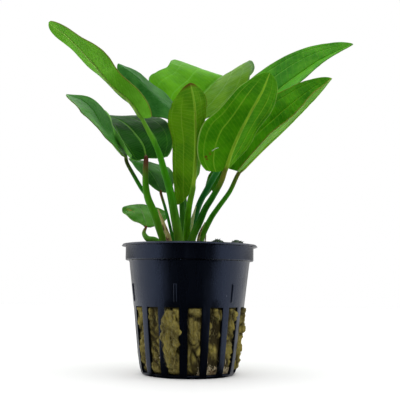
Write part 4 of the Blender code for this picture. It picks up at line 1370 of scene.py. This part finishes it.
def makeSheath(name, values, seed):
    rows, columns = sheathBuild["rows"], sheathBuild["columns"]
    way = smoothWay(values["way"], rows)
    heading = unit(np.gradient(way, axis=0))
    side = unit(np.cross(heading, np.asarray(values["face"], float)))
    front = np.cross(side, heading)
    points = np.zeros((rows, columns, 3))
    for i, s in enumerate(shares(rows)):
        half = values["wide"] / 2 * (1 - 0.85 * s**1.6)
        for j in range(columns):
            across = 2 * j / (columns - 1) - 1
            ragged = 1 + sheathBuild["ragged"] * noise.noise(Vector((s * 9, seed, across > 0)))
            curl = sheathBuild["curl"] * half * (1 - across**2)
            curl += sheathBuild["crumple"] * noise.noise(Vector((s * 14, across * 2, seed)))
            points[i, j] = way[i] + side[i] * half * across * ragged - front[i] * curl
    uvs = np.stack(np.meshgrid(np.linspace(0, 1, columns), np.linspace(0, 1, rows)), axis=-1)
    piece = gridPiece(name + "_skin", points, uvs)
    thicken(piece, sheathBuild["thick"])
    smoothOff(piece, 60)
    material, tree, shader = newMaterial(name + " skin", paint(*values["pale"]), 0.6)
    streak = noiseNode(tree, objectPlace(tree), 480, 5, rough=0.7, stretch=(1, 1, 0.45), distortion=0.5)
    # brown patches, more of them towards the foot
    patch = plus(tree, streak, fade(tree, ownMap(tree)[1], 0.1, 0.6, 0.12, -0.06))
    mottle(tree, shader, patch, 0.45, 0.56, values["pale"], values["dark"])
    letGlow(shader, 0.3, (1.0, 0.8, 0.4), 0.6)
    addBump(tree, shader, streak, 0.2, 0.8)
    piece.data.materials.append(material)
    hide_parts(name)
    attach(piece, "root")


# the way, the thickness along it, and between which heights its dark foot ends
stub = dict(way=[(6.4, 2.0, 46.2), (6.3, 2.0, 50), (6.35, 2.1, 53.4), (6.6, 2.2, 56.4)], rings=24, sides=10,
            radii=((0, 0.6, 1), (0.5, 0.42, 0.2)), darkTo=(52.2, 53.4))


def makeStub():
    way = smoothWay(stub["way"], stub["rings"])
    radii = np.interp(np.linspace(0, 1, stub["rings"]), *stub["radii"])
    piece = tubePiece("dry_stub_stem", way, radii, stub["sides"], squash=0.8)
    smoothOff(piece, 60)
    material, tree, shader = newMaterial("dry stub", paint(170, 146, 108), 0.75)
    where = objectPlace(tree)
    streak = noiseNode(tree, where, 900, 4, stretch=(1, 1, 0.2))
    height = tree.nodes.new("ShaderNodeSeparateXYZ")
    tree.links.new(where, height.inputs[0])
    low = fade(tree, height.outputs["Z"], stub["darkTo"][0] * mm, stub["darkTo"][1] * mm, 1.0, 0.0)
    colour = mixColour(tree, fade(tree, streak, 0.35, 0.65), paint(120, 92, 60), paint(196, 180, 150))
    colour = mixColour(tree, low, colour, paint(34, 40, 18))
    tree.links.new(colour, shader.inputs["Base Color"])
    addBump(tree, shader, streak, 0.2, 0.8)
    piece.data.materials.append(material)
    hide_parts("dry_stub")
    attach(piece, "root")


mossClumps = {
    "moss_near_crown": dict(centre=(11.6, 7.0, 50.0), size=(4.4, 3.8, 5.0), seed=5),
    "moss_by_rim": dict(centre=(19.6, 4.0, 49.6), size=(4.5, 3.5, 5.0), seed=11),
}
# tufts stay inside the wall below the rim
mossBuild = dict(tufts=620, lengths=(0.35, 0.85), thick=(0.12, 0.3), wall=24.6, rim=52.3, round=0.94,
                 uneven=0.12)


def makeMoss(name, clump):
    rng = random.Random(clump["seed"])
    ways, thickness = [], []
    wall = mossBuild["wall"]
    for k in range(mossBuild["tufts"]):
        z = rng.uniform(-0.35, 1)
        turn = rng.uniform(0, math.tau)
        out = Vector(around(math.sqrt(1 - z * z), turn, z))
        depth = rng.uniform(0.45, 0.9)
        start = Vector(clump["centre"]) + Vector([out[i] * clump["size"][i] * depth for i in range(3)])
        way = []
        drift = Vector((rng.uniform(-1, 1), rng.uniform(-1, 1), rng.uniform(-0.6, 0.9)))
        length = rng.uniform(*mossBuild["lengths"])
        for s in shares(4):
            spot = start + out * length * s + drift * 0.7 * length * s * s
            reach = math.hypot(spot.x, spot.y)
            if reach > wall and spot.z < mossBuild["rim"]:
                spot.x, spot.y = spot.x * wall / reach, spot.y * wall / reach
            way.append(tuple(spot))
        ways.append(way)
        thickness.append(rng.uniform(*mossBuild["thick"]))
    tufts = strandPiece(name + "_tufts", ways, thickness, sides=4)
    freshStart()
    bpy.ops.mesh.primitive_ico_sphere_add(subdivisions=4, radius=1)
    heart = bpy.context.object
    for vertex in heart.data.vertices:
        uneven = mossBuild["round"] + mossBuild["uneven"] * noise.fractal(vertex.co * 2.2, 0.9, 2.1, 4)
        for i in range(3):
            vertex.co[i] = (clump["centre"][i] + vertex.co[i] * clump["size"][i] * uneven) * mm
    piece = joinPieces([heart, tufts], name + "_tufts")
    smoothOff(piece, 80)
    material, tree, shader = newMaterial(name + " green", paint(24, 58, 26), 0.6)
    patch = noiseNode(tree, objectPlace(tree), 700, 4, rough=0.7)
    mottle(tree, shader, patch, 0.35, 0.65, (6, 22, 10), (28, 66, 30))
    addBump(tree, shader, patch, 0.3, 0.8)
    piece.data.materials.append(material)
    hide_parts(name)
    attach(piece, "root")


makeCrown()
for number, (sheathName, sheath) in enumerate(sheaths.items()):
    makeSheath(sheathName, sheath, number + 2.5)
makeStub()
for mossName, clump in mossClumps.items():
    makeMoss(mossName, clump)
print("the crown, the dry skins and the moss are in place")
